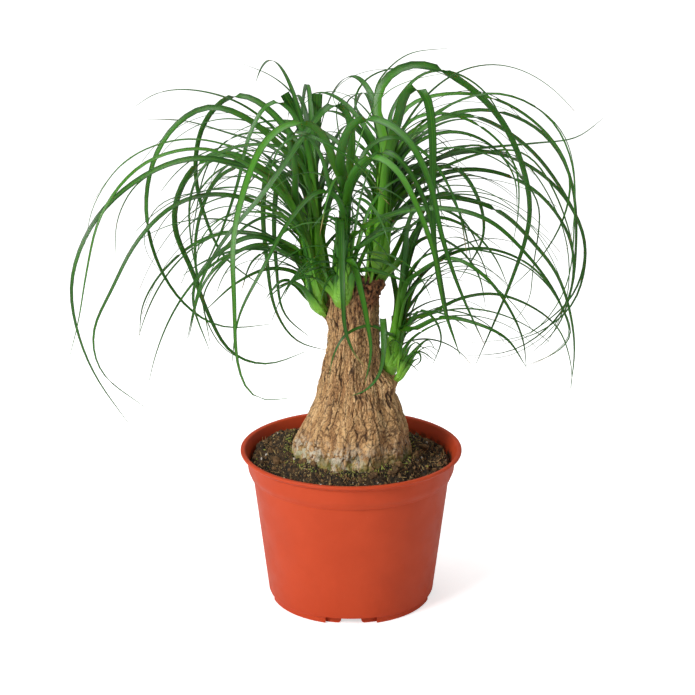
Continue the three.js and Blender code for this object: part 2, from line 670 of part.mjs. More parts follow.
// The frames that a blade's sections stand on, closer together where it bends or twists
function stations(route) {
  const frames = framesAlong(route);
  const cost = [0];
  for (let i = 1; i < frames.length; i++) {
    const before = frames[i - 1];
    const turned = before.along.angleTo(frames[i].along) + before.across.angleTo(frames[i].across);
    const length = before.place.distanceTo(frames[i].place);
    cost.push(cost[i - 1] + length / STEP_LENGTH + turned / STEP_BEND);
  }
  const total = cost[cost.length - 1];
  const steps = Math.max(3, Math.round(total));
  const chosen = [];
  for (let i = 0, at = 0; i <= steps; i++) {
    while (at < frames.length - 1 && cost[at] < (total * i) / steps - 1e-9) at++;
    chosen.push(frames[at]);
  }
  return chosen;
}

// A leaf's sections: a long blade, flat above and keeled below, that narrows to its tip. Where it
// bends so sharply that a section would stand behind the one before, that section is left out.
function bladeRings(route, extra) {
  const rings = [];
  for (const { place, along, across, share } of stations(route)) {
    const above = along.clone().cross(across).normalize();
    const narrowing = Math.pow(1 - share, 0.5);
    const broad = Math.max(LEAF_TIP_WIDTH, route.width * narrowing) + 2 * extra;
    const thick =
      LEAF_TIP_THICKNESS + (LEAF_THICKNESS - LEAF_TIP_THICKNESS) * narrowing + 2 * extra;
    const ring = [
      place.clone().addScaledVector(across, broad / 2).addScaledVector(above, thick / 3),
      place.clone().addScaledVector(across, -broad / 2).addScaledVector(above, thick / 3),
      place.clone().addScaledVector(above, (-thick * 2) / 3),
    ];
    if (!rings.length || advance(rings[rings.length - 1], ring) > LEAST_ADVANCE) rings.push(ring);
  }
  return rings;
}

// How far the rearmost corner of a section stands ahead of the section before it
function advance(before, ring) {
  const middle = (corners) => corners[0].clone().add(corners[1]).multiplyScalar(0.5);
  const forward = middle(ring).sub(middle(before)).normalize();
  return Math.min(...ring.map((corner, k) => corner.clone().sub(before[k]).dot(forward)));
}

const bladeSolid = (rings) => toSolid(skin(rings, true));

// True where one part of a blade passes through another part of it
function crossesItself(rings) {
  for (let i = 2; i < rings.length - 1; i++) {
    const nearer = bladeSolid(rings.slice(0, i));
    const farther = bladeSolid(rings.slice(i - 1));
    if (nearer.intersect(farther).volume() > TOUCHING) return true;
  }
  return false;
}

// Several solids joined to one body, with no hollow sealed inside it and no loose scrap
function joined(solids) {
  const bodies = wasm.Manifold.union(solids).simplify(SLIVER).decompose();
  return bodies.reduce((best, body) => (body.volume() > best.volume() ? body : best));
}

function boxesMeet(a, b) {
  return [0, 1, 2].every((axis) => a.min[axis] < b.max[axis] && b.min[axis] < a.max[axis]);
}

function crosses(solid, others) {
  const bounds = solid.boundingBox();
  return others.some(
    (other) => boxesMeet(bounds, other.bounds) && solid.intersect(other.solid).volume() > TOUCHING,
  );
}

// Leaves are placed one after another. One that would cross another head, the trunk, the soil or
// the pot is moved clear: a leaf read from the photograph to another depth on its line of sight,
// a leaf grown by rule to another direction. The first such place where it also clears the leaves
// of its own head is taken, if there is one.
function growHeads(standing) {
  const placed = SHOOTS.map((shoot) => {
    const solid = coreSolid(shoot.core, 0);
    return { head: shoot.head, solid, bounds: solid.boundingBox() };
  });
  const place = (shoot, routeFor, moves) => {
    const others = [...standing, ...placed.filter((piece) => piece.head !== shoot.head)];
    const sisters = placed.filter((piece) => piece.head === shoot.head && piece.leaf);
    const clear = moves
      .map(routeFor)
      .filter((route) => !crossesItself(bladeRings(route, 0)))
      .filter((route) => !crosses(bladeSolid(bladeRings(route, GAP)), others));
    const free = clear.find((route) => {
      const rings = bladeRings(route, 0);
      return !crosses(bladeSolid(rings.slice(Math.ceil(rings.length * SHEATHED))), sisters);
    });
    const solid = bladeSolid(bladeRings(free ?? clear[0], 0));
    placed.push({ head: shoot.head, leaf: true, solid, bounds: solid.boundingBox() });
  };
  SHOOTS.forEach((shoot) => {
    shoot.leaves.forEach((_, index) => {
      place(shoot, (shift) => readRoute(shoot, index, shift), READ_SHIFTS);
    });
  });
  SHOOTS.forEach((shoot, shootIndex) => {
    for (let index = 0; index < shoot.more.count; index++) {
      place(shoot, (turn) => grownRoute(shoot, shootIndex, index, turn), GROWN_TURNS);
    }
  });
  return placed;
}

// Materials, with the colours of the photograph
const terracotta = new THREE.MeshStandardMaterial({ color: 0xb5502f, roughness: 0.5 });
const darkSoil = new THREE.MeshStandardMaterial({ color: 0x3a2a1f, roughness: 1 });
const bark = new THREE.MeshStandardMaterial({ color: 0xb08d62, roughness: 0.9 });
const leafGreen = new THREE.MeshStandardMaterial({ color: 0x4c7a3a, roughness: 0.55 });

const plant = new THREE.Group();

function addPiece(name, solid, material) {
  const mesh = new THREE.Mesh(toGeometry(solid), material);
  mesh.name = name;
  plant.add(mesh);
}

const potSolid = makePot();
const soilSolid = makeSoil();
const sockets = SHOOTS.map((shoot) => coreSolid(shoot.core, GAP));
const trunkSolid = makeTrunk(0).subtract(wasm.Manifold.union(sockets));
const standing = [potSolid, soilSolid, trunkSolid].map((solid) => ({
  solid,
  bounds: solid.boundingBox(),
}));
const grown = growHeads(standing);

addPiece("pot", potSolid, terracotta);
addPiece("soil", soilSolid, darkSoil);
addPiece("trunk", trunkSolid, bark);
for (const head of new Set(SHOOTS.map((shoot) => shoot.head))) {
  const pieces = grown.filter((piece) => piece.head === head).map((piece) => piece.solid);
  addPiece(head, joined(pieces), leafGreen);
}

export default plant;
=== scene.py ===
import math

import bmesh
import bpy
import numpy as np
from mathutils import Matrix, Vector, bvhtree


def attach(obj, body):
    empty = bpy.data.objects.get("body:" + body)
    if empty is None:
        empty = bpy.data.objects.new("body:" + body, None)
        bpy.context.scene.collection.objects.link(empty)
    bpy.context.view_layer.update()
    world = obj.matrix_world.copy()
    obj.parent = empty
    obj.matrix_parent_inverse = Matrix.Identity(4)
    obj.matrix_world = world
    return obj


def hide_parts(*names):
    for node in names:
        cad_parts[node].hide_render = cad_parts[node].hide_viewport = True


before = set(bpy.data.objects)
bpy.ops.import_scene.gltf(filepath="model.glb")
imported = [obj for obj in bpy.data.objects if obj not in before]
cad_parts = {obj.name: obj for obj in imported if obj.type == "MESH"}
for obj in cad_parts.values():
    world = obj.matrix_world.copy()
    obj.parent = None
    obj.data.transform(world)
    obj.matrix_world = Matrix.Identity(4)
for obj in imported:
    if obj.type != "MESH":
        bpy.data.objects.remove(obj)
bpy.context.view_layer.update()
MM = 0.001


# The pot is one injection-moulded shell of matte polypropylene. It has a turned-out lip that the
# nursery's trays grip, a straight collar under it, and a body that tapers to a short foot ring
# with four notches, which have set-back webs and let the water run out.
POT_SIDES = 192
# The pot's outline from the middle of its underside round to the middle of its floor, in
# millimetres: radius, height, and how far from each corner its rounding starts
POT_OUTLINE = [
    (0, 6, 0), (57.2, 6, 0.5), (57.2, 0, 0.3), (60.8, 0, 0.8), (61, 4.2, 0.4), (62.4, 5, 0.5),
    (73.2, 95, 0.4), (73.3, 96, 0.3), (74.9, 96.5, 0.4), (75.2, 97.8, 0.6), (76.9, 101.2, 2.5),
    (78, 112.3, 1.2), (81.7, 114.2, 0.7), (82.5, 115, 0.7), (82.5, 116.8, 0.9),
    (79.2, 116.8, 1.2), (76.4, 110, 4), (75.2, 100, 3), (71.5, 94.8, 2), (60.8, 7.6, 2),
    (0, 7.6, 0),
]
NOTCH_COUNT = 4
NOTCH_WIDTH = 37.6 * MM
NOTCH_HEIGHT = 5.7 * MM
NOTCH_FROM = 52 * MM  # how far from the axis a notch's cut starts, inside the foot ring
NOTCH_CUT = 12 * MM  # and how far outwards it goes from there
WEB_OUTER_RADIUS = 57.7 * MM
WEB_THICKNESS = 2 * MM
WEB_WIDTH = 42 * MM
WEB_HEIGHT = 6.5 * MM
OPENING_WIDTH = 15 * MM
OPENING_HEIGHT = 4.4 * MM
OPENING_ROUND = 2.5 * MM
OPENING_STEPS = 6  # across half its width, and round each of its corners
WEB_STEPS = 8  # on each side of it
DRAIN_HOLE_RADIUS = 5 * MM
DRAIN_HOLE_CIRCLE = 36 * MM
DRAIN_HOLE_HEIGHT = 6 * MM
DRAIN_PIN = 4 * MM  # how far the pin that cuts a hole reaches up and down
SHARP_FROM = math.radians(32)  # edges that turn further than this stay crisp
TERRACOTTA_LIGHT = (0.6, 0.07, 0.02, 1)
TERRACOTTA_DEEP = (0.555, 0.062, 0.017, 1)
TERRACOTTA_SPECK = (0.7, 0.2, 0.09, 1)
POT_STAIN = (0.06, 0.032, 0.018, 1)
# The stain lies inside the wall: it fades in over each of these, and out above the soil
STAIN_WITHIN = (76.6 * MM, 76.3 * MM)
STAIN_ABOVE = (100.8 * MM, 101.8 * MM)
STAIN_BELOW = (112 * MM, 104 * MM)


def rounded(corners, steps=4):
    """An outline's points in metres, each (radius, height, rounding) corner as a short arc."""
    points = []
    for i, (radius, height, rounding) in enumerate(corners):
        here = Vector((radius, height)) * MM
        if rounding == 0:
            points.append(here)
            continue
        before = Vector(corners[i - 1][:2]) * MM - here
        after = Vector(corners[i + 1][:2]) * MM - here
        reach = min(rounding * MM, before.length * 0.48, after.length * 0.48)
        start = here + before.normalized() * reach
        end = here + after.normalized() * reach
        for step in range(steps + 1):
            t = step / steps
            points.append(start * (1 - t) ** 2 + here * 2 * t * (1 - t) + end * t**2)
    return points


def in_scene(name, data):
    """An object that is in the scene, with this mesh, lamp or camera."""
    piece = bpy.data.objects.new(name, data)
    bpy.context.scene.collection.objects.link(piece)
    return piece


def mesh_object(name, points, faces):
    """An object with a mesh of the given points and faces, its faces outward."""
    mesh = bpy.data.meshes.new(name)
    mesh.from_pydata([tuple(point) for point in points], [], faces)
    form = bmesh.new()
    form.from_mesh(mesh)
    bmesh.ops.recalc_face_normals(form, faces=form.faces)
    form.to_mesh(mesh)
    form.free()
    return in_scene(name, mesh)


def ring(radius, height, sides):
    """A ring of points about the axis. Radius and height are one number, or one for each point."""
    angles = np.arange(sides) * 2 * math.pi / sides
    heights = np.full(sides, height, dtype=float)
    return np.stack([radius * np.cos(angles), radius * np.sin(angles), heights], axis=1)


def skinned(name, rings):
    """A closed mesh over rings of points, with a point in the middle of the first and the last."""
    sides = len(rings[0])
    points = np.concatenate([*rings, [np.mean(rings[0], axis=0), np.mean(rings[-1], axis=0)]])
    level, side = np.meshgrid(np.arange(len(rings) - 1), np.arange(sides), indexing="ij")
    a = (level * sides + side).ravel()
    b = (level * sides + (side + 1) % sides).ravel()
    faces = np.stack([a, b, b + sides, a + sides], axis=1).tolist()
    first, last = len(points) - 2, len(points) - 1
    end = (len(rings) - 1) * sides
    for k in range(sides):
        beside = (k + 1) % sides
        faces.append((first, beside, k))
        faces.append((last, end + k, end + beside))
    return mesh_object(name, points, faces)


def turned(name, outline, sides):
    """A closed shell made by turning an outline whose two ends lie on the axis."""
    return skinned(name, [ring(radius, height, sides) for radius, height in outline[1:-1]])


def cutting_block(width, depth, height, place, turn):
    """A block of material to cut away, centred on a place that is turned about the pot's axis."""
    spin = Matrix.Rotation(turn, 3, "Z")
    half = (-0.5, 0.5)
    sides = [Vector((x * width, y * depth, z * height)) for x in half for y in half for z in half]
    faces = [(0, 1, 3, 2), (4, 6, 7, 5), (0, 4, 5, 1), (2, 3, 7, 6), (0, 2, 6, 4), (1, 5, 7, 3)]
    return mesh_object("cutting_block", [spin @ (side + place) for side in sides], faces)


def cutting_pin(radius, height, place, turn, sides=32):
    """A round pin of material to cut away, upright at a place turned about the pot's axis."""
    outline = [(0, -height), (radius, -height), (radius, height), (0, height)]
    pin = turned("cutting_pin", outline, sides)
    pin.data.transform(Matrix.Rotation(turn, 4, "Z") @ Matrix.Translation(place))
    return pin


def notch_web(turn):
    """The curved plate behind a notch, with an opening whose lower corners are rounded."""
    half = OPENING_WIDTH / 2
    steps = range(OPENING_STEPS + 1)
    columns = [(OPENING_HEIGHT, half * k / OPENING_STEPS) for k in steps]
    for k in steps:
        t = k / OPENING_STEPS * math.pi / 2
        low = OPENING_ROUND * (1 - math.sin(t))
        columns.append((low, half + OPENING_ROUND * (1 - math.cos(t))))
    corner = half + OPENING_ROUND
    reach = WEB_WIDTH / 2 - corner
    columns += [(0, corner + reach * k / WEB_STEPS) for k in range(1, WEB_STEPS + 1)]
    columns = [(low, -along) for low, along in reversed(columns[1:])] + columns
    outer, inner = WEB_OUTER_RADIUS, WEB_OUTER_RADIUS - WEB_THICKNESS
    points = []
    for low, along in columns:
        angle = along / WEB_OUTER_RADIUS + turn
        outward = Vector((math.cos(angle), math.sin(angle), 0))
        corners = ((outer, low), (outer, WEB_HEIGHT), (inner, WEB_HEIGHT), (inner, low))
        points += [outward * radius + Vector((0, 0, height)) for radius, height in corners]
    faces = [(0, 1, 2, 3)]
    for i in range(len(columns) - 1):
        for k in range(4):
            a, b = 4 * i + k, 4 * i + (k + 1) % 4
            faces.append((a, b, b + 4, a + 4))
    last = 4 * (len(columns) - 1)
    faces.append((last, last + 1, last + 2, last + 3))
    return mesh_object("notch_web", points, faces)


def settled(piece):
    """The piece with its modifiers worked into a plain mesh and taken off."""
    bpy.context.view_layer.update()
    depsgraph = bpy.context.evaluated_depsgraph_get()
    made = piece.evaluated_get(depsgraph)
    mesh = bpy.data.meshes.new_from_object(
        made, preserve_all_data_layers=True, depsgraph=depsgraph
    )
    piece.modifiers.clear()
    piece.data = mesh
    return piece


def worked(piece, tools, operation):
    """Cuts a list of tools from the piece, or joins them to it."""
    for tool in tools:
        modifier = piece.modifiers.new(operation, "BOOLEAN")
        modifier.operation = operation
        modifier.solver = "EXACT"
        modifier.object = tool
        settled(piece)
        bpy.data.objects.remove(tool)


pot = turned("nursery_pot", rounded(POT_OUTLINE), POT_SIDES)
quarter = 2 * math.pi / NOTCH_COUNT
notch_middle = Vector((NOTCH_FROM + NOTCH_CUT / 2, 0, 0))
hole_middle = Vector((DRAIN_HOLE_CIRCLE, 0, DRAIN_HOLE_HEIGHT))
cuts = []
webs = []
for number in range(NOTCH_COUNT):
    turn = number * quarter
    cuts.append(cutting_block(NOTCH_CUT, NOTCH_WIDTH, 2 * NOTCH_HEIGHT, notch_middle, turn))
    cuts.append(cutting_pin(DRAIN_HOLE_RADIUS, DRAIN_PIN, hole_middle, turn + quarter / 2))
    webs.append(notch_web(turn))
worked(pot, cuts, "DIFFERENCE")
worked(pot, webs, "UNION")
for face in pot.data.polygons:
    face.use_smooth = True
pot.data.set_sharp_from_angle(angle=SHARP_FROM)


class Value:
    """What a node puts out. A sum on values adds the node that works it out."""

    def __init__(self, socket):
        self.socket = socket

    def __getitem__(self, name):
        return Value(self.socket.node.outputs[name])

    def __add__(self, other):
        return reckoned("ADD", self, other)

    def __sub__(self, other):
        return reckoned("SUBTRACT", self, other)

    def __rsub__(self, other):
        return reckoned("SUBTRACT", other, self)

    def __truediv__(self, other):
        return reckoned("DIVIDE", self, other)

    def __mul__(self, other):
        if is_vector(self) and not is_vector(other):
            return put("ShaderNodeVectorMath", {0: self, "Scale": other}, operation="SCALE")
        return reckoned("MULTIPLY", self, other)


def is_vector(value):
    """Whether a value or a constant has three parts."""
    return isinstance(value, tuple) or isinstance(value, Value) and value.socket.type == "VECTOR"


def put(kind, inputs=None, tree=None, **settings):
    """Adds a node beside those that its inputs come from, or to a tree. Gives its first output."""
    inputs = inputs or {}
    for value in inputs.values():
        if isinstance(value, Value):
            tree = value.socket.id_data
    node = tree.nodes.new(kind)
    for name, setting in settings.items():
        setattr(node, name, setting)
    for name, value in inputs.items():
        if isinstance(value, Value):
            tree.links.new(value.socket, node.inputs[name])
        else:
            node.inputs[name].default_value = value
    return Value(node.outputs[0]) if node.outputs else None


def reckoned(operation, *values):
    """The result of a sum, on vectors where one of its values is a vector."""
    kind = "ShaderNodeVectorMath" if any(map(is_vector, values)) else "ShaderNodeMath"
    return put(kind, dict(enumerate(values)), operation=operation)


def length_of(vector):
    """How long a vector is."""
    return reckoned("LENGTH", vector)["Value"]


def parts_of(vector):
    """The X of a vector, with its Y and Z beside it."""
    return put("ShaderNodeSeparateXYZ", {0: vector})


def ranged(value, low, high, to_low=0, to_high=1):
    """A value brought smoothly from one range to another."""
    inputs = dict(enumerate((value, low, high, to_low, to_high)))
    return put("ShaderNodeMapRange", inputs, interpolation_type="SMOOTHSTEP")


def mixed(share, first, second):
    """Two colours mixed by a share."""
    return put("ShaderNodeMix", {0: share, 6: first, 7: second}, data_type="RGBA")[2]


def noise(place, scale, detail):
    """Soft uneven grey, with uneven colour beside it."""
    return put("ShaderNodeTexNoise", {"Vector": place, "Scale": scale, "Detail": detail})


def group_inputs(tree, inwards, outwards):
    """Names what goes into a node group and comes out of it. Gives what goes in."""
    for direction, sockets in (("INPUT", inwards), ("OUTPUT", outwards)):
        for name, kind in sockets.items():
            tree.interface.new_socket(name, in_out=direction, socket_type=f"NodeSocket{kind}")
    return put("NodeGroupInput", tree=tree)


def patches_group():
    """Soft patches of two tones over a surface, as handling, damp and weather leave them."""
    group = bpy.data.node_groups.new("Patches", "ShaderNodeTree")
    inwards = {"Vector": "Vector"} | dict.fromkeys(("Scale", "Low", "High"), "Float")
    inwards |= dict.fromkeys(("First Tone", "Second Tone"), "Color")
    given = group_inputs(group, inwards, {"Color": "Color", "Mask": "Float"})
    uneven = noise(given["Vector"], given["Scale"], 4)
    uneven.socket.node.inputs["Roughness"].default_value = 0.6
    share = ranged(uneven, given["Low"], given["High"])
    tone = mixed(share, given["First Tone"], given["Second Tone"])
    put("NodeGroupOutput", {"Color": tone, "Mask": share})
    return group


patches = patches_group()


def patched(vector, scale, low, high, first=(0, 0, 0, 1), second=(1, 1, 1, 1)):
    """The Patches group placed in a material: its colour, with its mask beside it."""
    inputs = dict(enumerate((vector, scale, low, high, first, second)))
    return put("ShaderNodeGroup", inputs, node_tree=patches)


def new_material(name):
    """A new material and the place on its object."""
    material = bpy.data.materials.new(name)
    material.use_nodes = True
    return material, put("ShaderNodeTexCoord", tree=material.node_tree)["Object"]


def dressed(material, colour, roughness, relief, strength, depth):
    """Gives a material's shader its colour, roughness and relief."""
    tree = material.node_tree
    shader = tree.nodes["Principled BSDF"]
    normal = put("ShaderNodeBump", {"Height": relief, "Strength": strength, "Distance": depth})
    for name, value in (("Base Color", colour), ("Roughness", roughness), ("Normal", normal)):
        tree.links.new(value.socket, shader.inputs[name])
    return shader


def moulded_plastic():
    """Matte terracotta-coloured plastic: faint clouds, pale specks, a soil stain inside the rim."""
    material, place = new_material("moulded_plastic")
    clouds = patched(place, 38, 0.3, 0.75, TERRACOTTA_DEEP, TERRACOTTA_LIGHT)
    cells = put("ShaderNodeTexVoronoi", {"Vector": place, "Scale": 420})
    few = reckoned("GREATER_THAN", cells["Color"], 0.86)
    dot = ranged(cells["Distance"], 0.16, 0.05)
    specked = mixed(few * dot * 0.4, clouds, TERRACOTTA_SPECK)
    height = parts_of(place)["Z"]
    inside = ranged(length_of(place * (1, 1, 0)), *STAIN_WITHIN) * ranged(height, *STAIN_ABOVE)
    smear = patched(place, 120, 0.42, 0.62)["Mask"]
    stain = inside * ranged(height, *STAIN_BELOW) * smear
    rubbed = patched(place, 70, 0.3, 0.7)["Mask"]
    colour = mixed(stain, specked, POT_STAIN)
    roughness = ranged(rubbed, 0, 1, 0.42, 0.52)
    shader = dressed(material, colour, roughness, noise(place, 1400, 2), 0.25, 0.05 * MM)
    shader.inputs["Specular IOR Level"].default_value = 0.2
    return material


pot.data.materials.clear()
pot.data.materials.append(moulded_plastic())
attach(pot, "root")
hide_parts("pot")


# The trunk grew as one woody body: a swollen base that stores water, a slimmer stem above it, and
# the scar where the main stem was once cut. Its corky bark has split into upright plates as the
# wood swelled, and is finest and most broken where the soil keeps it damp.
TRUNK_SIDES = 400
TRUNK_RING_STEP = 0.75
TRUNK_BURIED_STEP = 5
TRUNK_BURIED_BELOW = 92
TRUNK_END = (0.35, 51)  # the underside: share of the lowest ring's radius, height
# Its outline in millimetres: height, how far its middle lies to the right, radius
TRUNK_OUTLINE = [
    (54, -1, 22), (80, -0.6, 42), (104, 0, 45.6), (112, 0.2, 44.6), (122, 0.9, 42.2),
    (132, 2.1, 39.6), (142, 3.7, 35.8), (156, 4, 30), (163, 3, 27.2), (170, 1, 23.6),
    (177, 1, 21.9), (185, 1.4, 20.4), (206, 2.2, 18.2), (216, 1.9, 18.2), (221, 1.7, 18.3),
    (236, 1.6, 18.6), (242, 1.6, 18.6),
]
TRUNK_MIDDLE = (1.6 * MM, 0, 0)  # the axis of its upper part
# Swellings: degrees from +X, height, spread in degrees, spread in height, how far they stand out
TRUNK_SWELLINGS = [(-8, 170.5, 38, 7, 10.5), (190, 221, 34, 5.5, 5), (15, 241, 34, 5, 5)]
# Ridges: how many around, how they drift with height, where they start, how high they are
TRUNK_RIDGES = [(7, 0.02, 0, 0.9), (11, -0.05, 1.3, 1.2), (3, 0.34, -1.57, 0.35)]
RIDGES_FROM = 90
RIDGES_FULL = 125
# The cut on top, from its outer edge inwards: height and share of the trunk's radius there
SCAR_RINGS = [
    (243.6, 0.975), (245, 0.93), (245.8, 0.87), (245.6, 0.8), (244.6, 0.74), (243, 0.69),
    (241, 0.64), (239.5, 0.56), (239, 0.4), (239.2, 0.2),
]
BURL_FADES = 12 * MM  # the burl grows in over this height
BURL_SIDE = (-3 * MM, 9 * MM)  # and over this way to the right
# The palest bark tone is pale cork, and it is also painted as a highlight on the raised strands of
# the relief. The dark tone is darker cork, and it is also painted as shade in the hollows between
# the strands and in the hairline grooves.
BARK_PALE_AND_HIGHLIGHT = (0.86, 0.575, 0.29, 1)
BARK_TAN = (0.72, 0.43, 0.18, 1)
BARK_MID = (0.56, 0.3, 0.115, 1)
BARK_DARK_AND_SHADE = (0.33, 0.148, 0.052, 1)
# The crack tone darkens the furrows and pits: partly the darker cork inside them, partly painted
# shade
BARK_CRACK_AND_SHADE = (0.06, 0.026, 0.011, 1)
BARK_RED = (0.2, 0.058, 0.02, 1)
BURL_CREST = (0.52, 0.2, 0.075, 1)
SCAR_DARK = (0.022, 0.012, 0.008, 1)
LIME_CRUST = (0.8, 0.74, 0.58, 1)
MOSS_STAIN = (0.27, 0.29, 0.06, 1)
# Where each of these fades in: lime from above and from the soil, and from the right
LIME_ABOVE = (135 * MM, 122 * MM)
LIME_BELOW = (104 * MM, 113 * MM)
LIME_SIDE = (26 * MM, -20 * MM)
MOSS_ABOVE = (128 * MM, 108 * MM)
# And where the bark's darkening towards the soil fades in, from above
DARKENING_ABOVE = (117 * MM, 106 * MM)
SCAR_WITHIN = (15.5 * MM, 12.5 * MM)
SCAR_ABOVE = (236 * MM, 238 * MM)


def smooth_rows(rows, heights):
    """The rows' second and third numbers on a smooth curve through them, at the given heights."""
    table = np.array(rows, dtype=float)
    known = table[:, 0]
    slopes = np.gradient(table[:, 1:], known, axis=0)
    found = []
    for height in heights:
        i = int(np.clip(np.searchsorted(known, height) - 1, 0, len(known) - 2))
        span = known[i + 1] - known[i]
        t = (height - known[i]) / span
        found.append(
            table[i, 1:] * (2 * t**3 - 3 * t**2 + 1)
            + slopes[i] * span * (t**3 - 2 * t**2 + t)
            + table[i + 1, 1:] * (3 * t**2 - 2 * t**3)
            + slopes[i + 1] * span * (t**3 - t**2)
        )
    return np.array(found)


def trunk_radius(angle, height, radius):
    """How far the trunk's bark stands from its middle, in millimetres."""
    swollen = radius
    for towards, middle, spread, rise, out in TRUNK_SWELLINGS:
        away = angle - math.radians(towards)
        around = np.arctan2(np.sin(away), np.cos(away)) / math.radians(spread)
        swollen = swollen + out * np.exp(-(around**2) - ((height - middle) / rise) ** 2)
    shown = np.clip((height - RIDGES_FROM) / (RIDGES_FULL - RIDGES_FROM), 0, 1)
    shown = shown * shown * (3 - 2 * shown) * (0.35 + radius / 60)
    for count, drift, start, out in TRUNK_RIDGES:
        swollen = swollen + shown * out * np.cos(count * angle + drift * height + start)
    return swollen


def trunk_form():
    """The trunk's smooth form, before the bark breaks it up."""
    angles = np.arange(TRUNK_SIDES) * 2 * math.pi / TRUNK_SIDES
    lowest, (highest, middle, _) = TRUNK_OUTLINE[0][0], TRUNK_OUTLINE[-1]
    buried = np.arange(lowest, TRUNK_BURIED_BELOW, TRUNK_BURIED_STEP)
    shown = np.arange(TRUNK_BURIED_BELOW, highest, TRUNK_RING_STEP)
    heights = np.concatenate([buried, shown, [highest]])
    rings = []
    for height, (across, radius) in zip(heights, smooth_rows(TRUNK_OUTLINE, heights)):
        reach = trunk_radius(angles, height, radius)
        rings.append(ring(reach, height, TRUNK_SIDES) + (across, 0, 0))
    top = rings[-1]
    for height, share in SCAR_RINGS:
        inwards = top * share + (middle * (1 - share), 0, 0)
        inwards[:, 2] = height
        rings.append(inwards)
    end = rings[0] * TRUNK_END[0]
    end[:, 2] = TRUNK_END[1]
    return skinned("trunk_bark", np.array([end, *rings]) * MM)


def new_tree(name, sizes):
    """What goes into a new geometry tree: a geometry, with sizes and a material beside it."""
    tree = bpy.data.node_groups.new(name, "GeometryNodeTree")
    inwards = {"Geometry": "Geometry"} | dict.fromkeys(sizes, "Float")
    return group_inputs(tree, inwards | {"Material": "Material"}, {"Geometry": "Geometry"})


def ended(geometry, given):
    """The tree, ended: its instances made real, its material set, and all of it put out."""
    whole = put("GeometryNodeRealizeInstances", {0: geometry})
    skin = {"Geometry": whole, "Material": given["Material"]}
    put("NodeGroupOutput", {0: put("GeometryNodeSetMaterial", skin)})
    return given.socket.id_data


def grown(piece, tree, **values):
    """The piece worked by a geometry tree with its named inputs set, then made plain again."""
    modifier = piece.modifiers.new(tree.name, "NODES")
    modifier.node_group = tree
    for item in tree.interface.items_tree:
        key = item.name.lower().replace(" ", "_")
        if item.in_out == "INPUT" and key in values:
            modifier[item.identifier] = values[key]
    return settled(piece)


def place_in(given):
    """The place of each point of a geometry tree."""
    return put("GeometryNodeInputPosition", tree=given.socket.id_data)


def stored(geometry, name, value, kind="FLOAT"):
    """Geometry with a named value kept on it for its material."""
    inputs = {"Geometry": geometry, "Name": name, "Value": value}
    return put("GeometryNodeStoreNamedAttribute", inputs, data_type=kind, domain="POINT")


def moved(geometry, offset):
    """Geometry with its points moved."""
    return put("GeometryNodeSetPosition", {"Geometry": geometry, "Offset": offset})


def furrows(place, stretch, scale, width, detail=1.5):
    """Long winding furrows: one in their middle, and nothing at this distance on either side."""
    swing = noise(place * stretch, scale, detail) - 0.5
    return ranged(reckoned("ABSOLUTE", swing), width, 0)


def bark_tree():
    """Breaks a trunk's smooth form into upright ridges, furrows, plates, burl and crumbs."""
    sizes = ["Grain Radius", "Furrow Depth", "Fine Furrow Depth", "Wrinkle Depth"]
    sizes += ["Strand Depth", "Crumb Depth", "Burl Height", "Burl Start"]
    given = new_tree("Corky bark", sizes)
    place = place_in(given)
    normal = put("GeometryNodeInputNormal", tree=given.socket.id_data)
    outwards = reckoned("NORMALIZE", (place - TRUNK_MIDDLE) * (1, 1, 0))
    grain = outwards * given["Grain Radius"] + place * (0, 0, 1)
    bend = noise(grain, 75, 2)["Color"] - (0.5, 0.5, 0.5)
    winding = grain + bend * (7 * MM)
    wide = furrows(winding, (1, 1, 0.13), 150, 0.028)
    plates = {"Vector": winding * (1, 1, 0.42), "Scale": 240}
    plates = put("ShaderNodeTexVoronoi", plates, feature="DISTANCE_TO_EDGE")["Distance"]
    fine = ranged(plates, 0.085, 0)
    patchy = ranged(noise(grain * (1, 1, 0.6), 75, 1), 0.38, 0.6)
    wrinkle = furrows(winding, (0.4, 0.4, 1), 260, 0.05) * patchy
    wrinkle = reckoned("MAXIMUM", wrinkle, furrows(place, (1, 1, 0.7), 520, 0.04))
    strand = noise(winding * (1, 1, 0.22), 360, 4)
    crumb = noise(place * (1, 1, 0.7), 620, 4)
    parts = parts_of(place)
    burl = ranged(parts["Z"], given["Burl Start"], given["Burl Start"] + BURL_FADES)
    burl = burl * ranged(parts["X"], *BURL_SIDE)
    holes = burl * ranged(noise(place, 430, 3), 0.5, 0.4)
    knotty = burl * (noise(place, 230, 3) - 0.5) * given["Burl Height"]
    knotty = knotty - holes * given["Crumb Depth"] * 1.6
    grown_over = ranged(burl, 0, 1, 1, 0.35)
    sunk = wide * given["Furrow Depth"] + fine * given["Fine Furrow Depth"]
    sunk = sunk + wrinkle * given["Wrinkle Depth"]
    proud = (strand - 0.5) * given["Strand Depth"] + (crumb - 0.5) * given["Crumb Depth"]
    # The furrows, plate edges, wrinkles and burl holes, kept as a mask for the material, which
    # darkens them partly as their own colour and partly as painted shade
    crack_shade = reckoned("MAXIMUM", wide, fine * 0.62)
    crack_shade = reckoned("MAXIMUM", crack_shade, wrinkle * 0.6)
    crack_shade = reckoned("MAXIMUM", crack_shade * grown_over, holes)
    height = (proud - sunk) * grown_over + knotty
    geometry = given
    for name, value in {"crack_shade": crack_shade, "strand": strand, "crumb": crumb, "burl": burl}.items():
        geometry = stored(geometry, name, value)
    geometry = stored(geometry, "grain", winding, "FLOAT_VECTOR")
    smooth = put("GeometryNodeSetShadeSmooth", {0: moved(geometry, normal * height)})
    return ended(smooth, given)


def kept_value(material, name, output="Fac"):
    """A value that was kept on the mesh when it was made."""
    return put("ShaderNodeAttribute", tree=material.node_tree, attribute_name=name)[output]


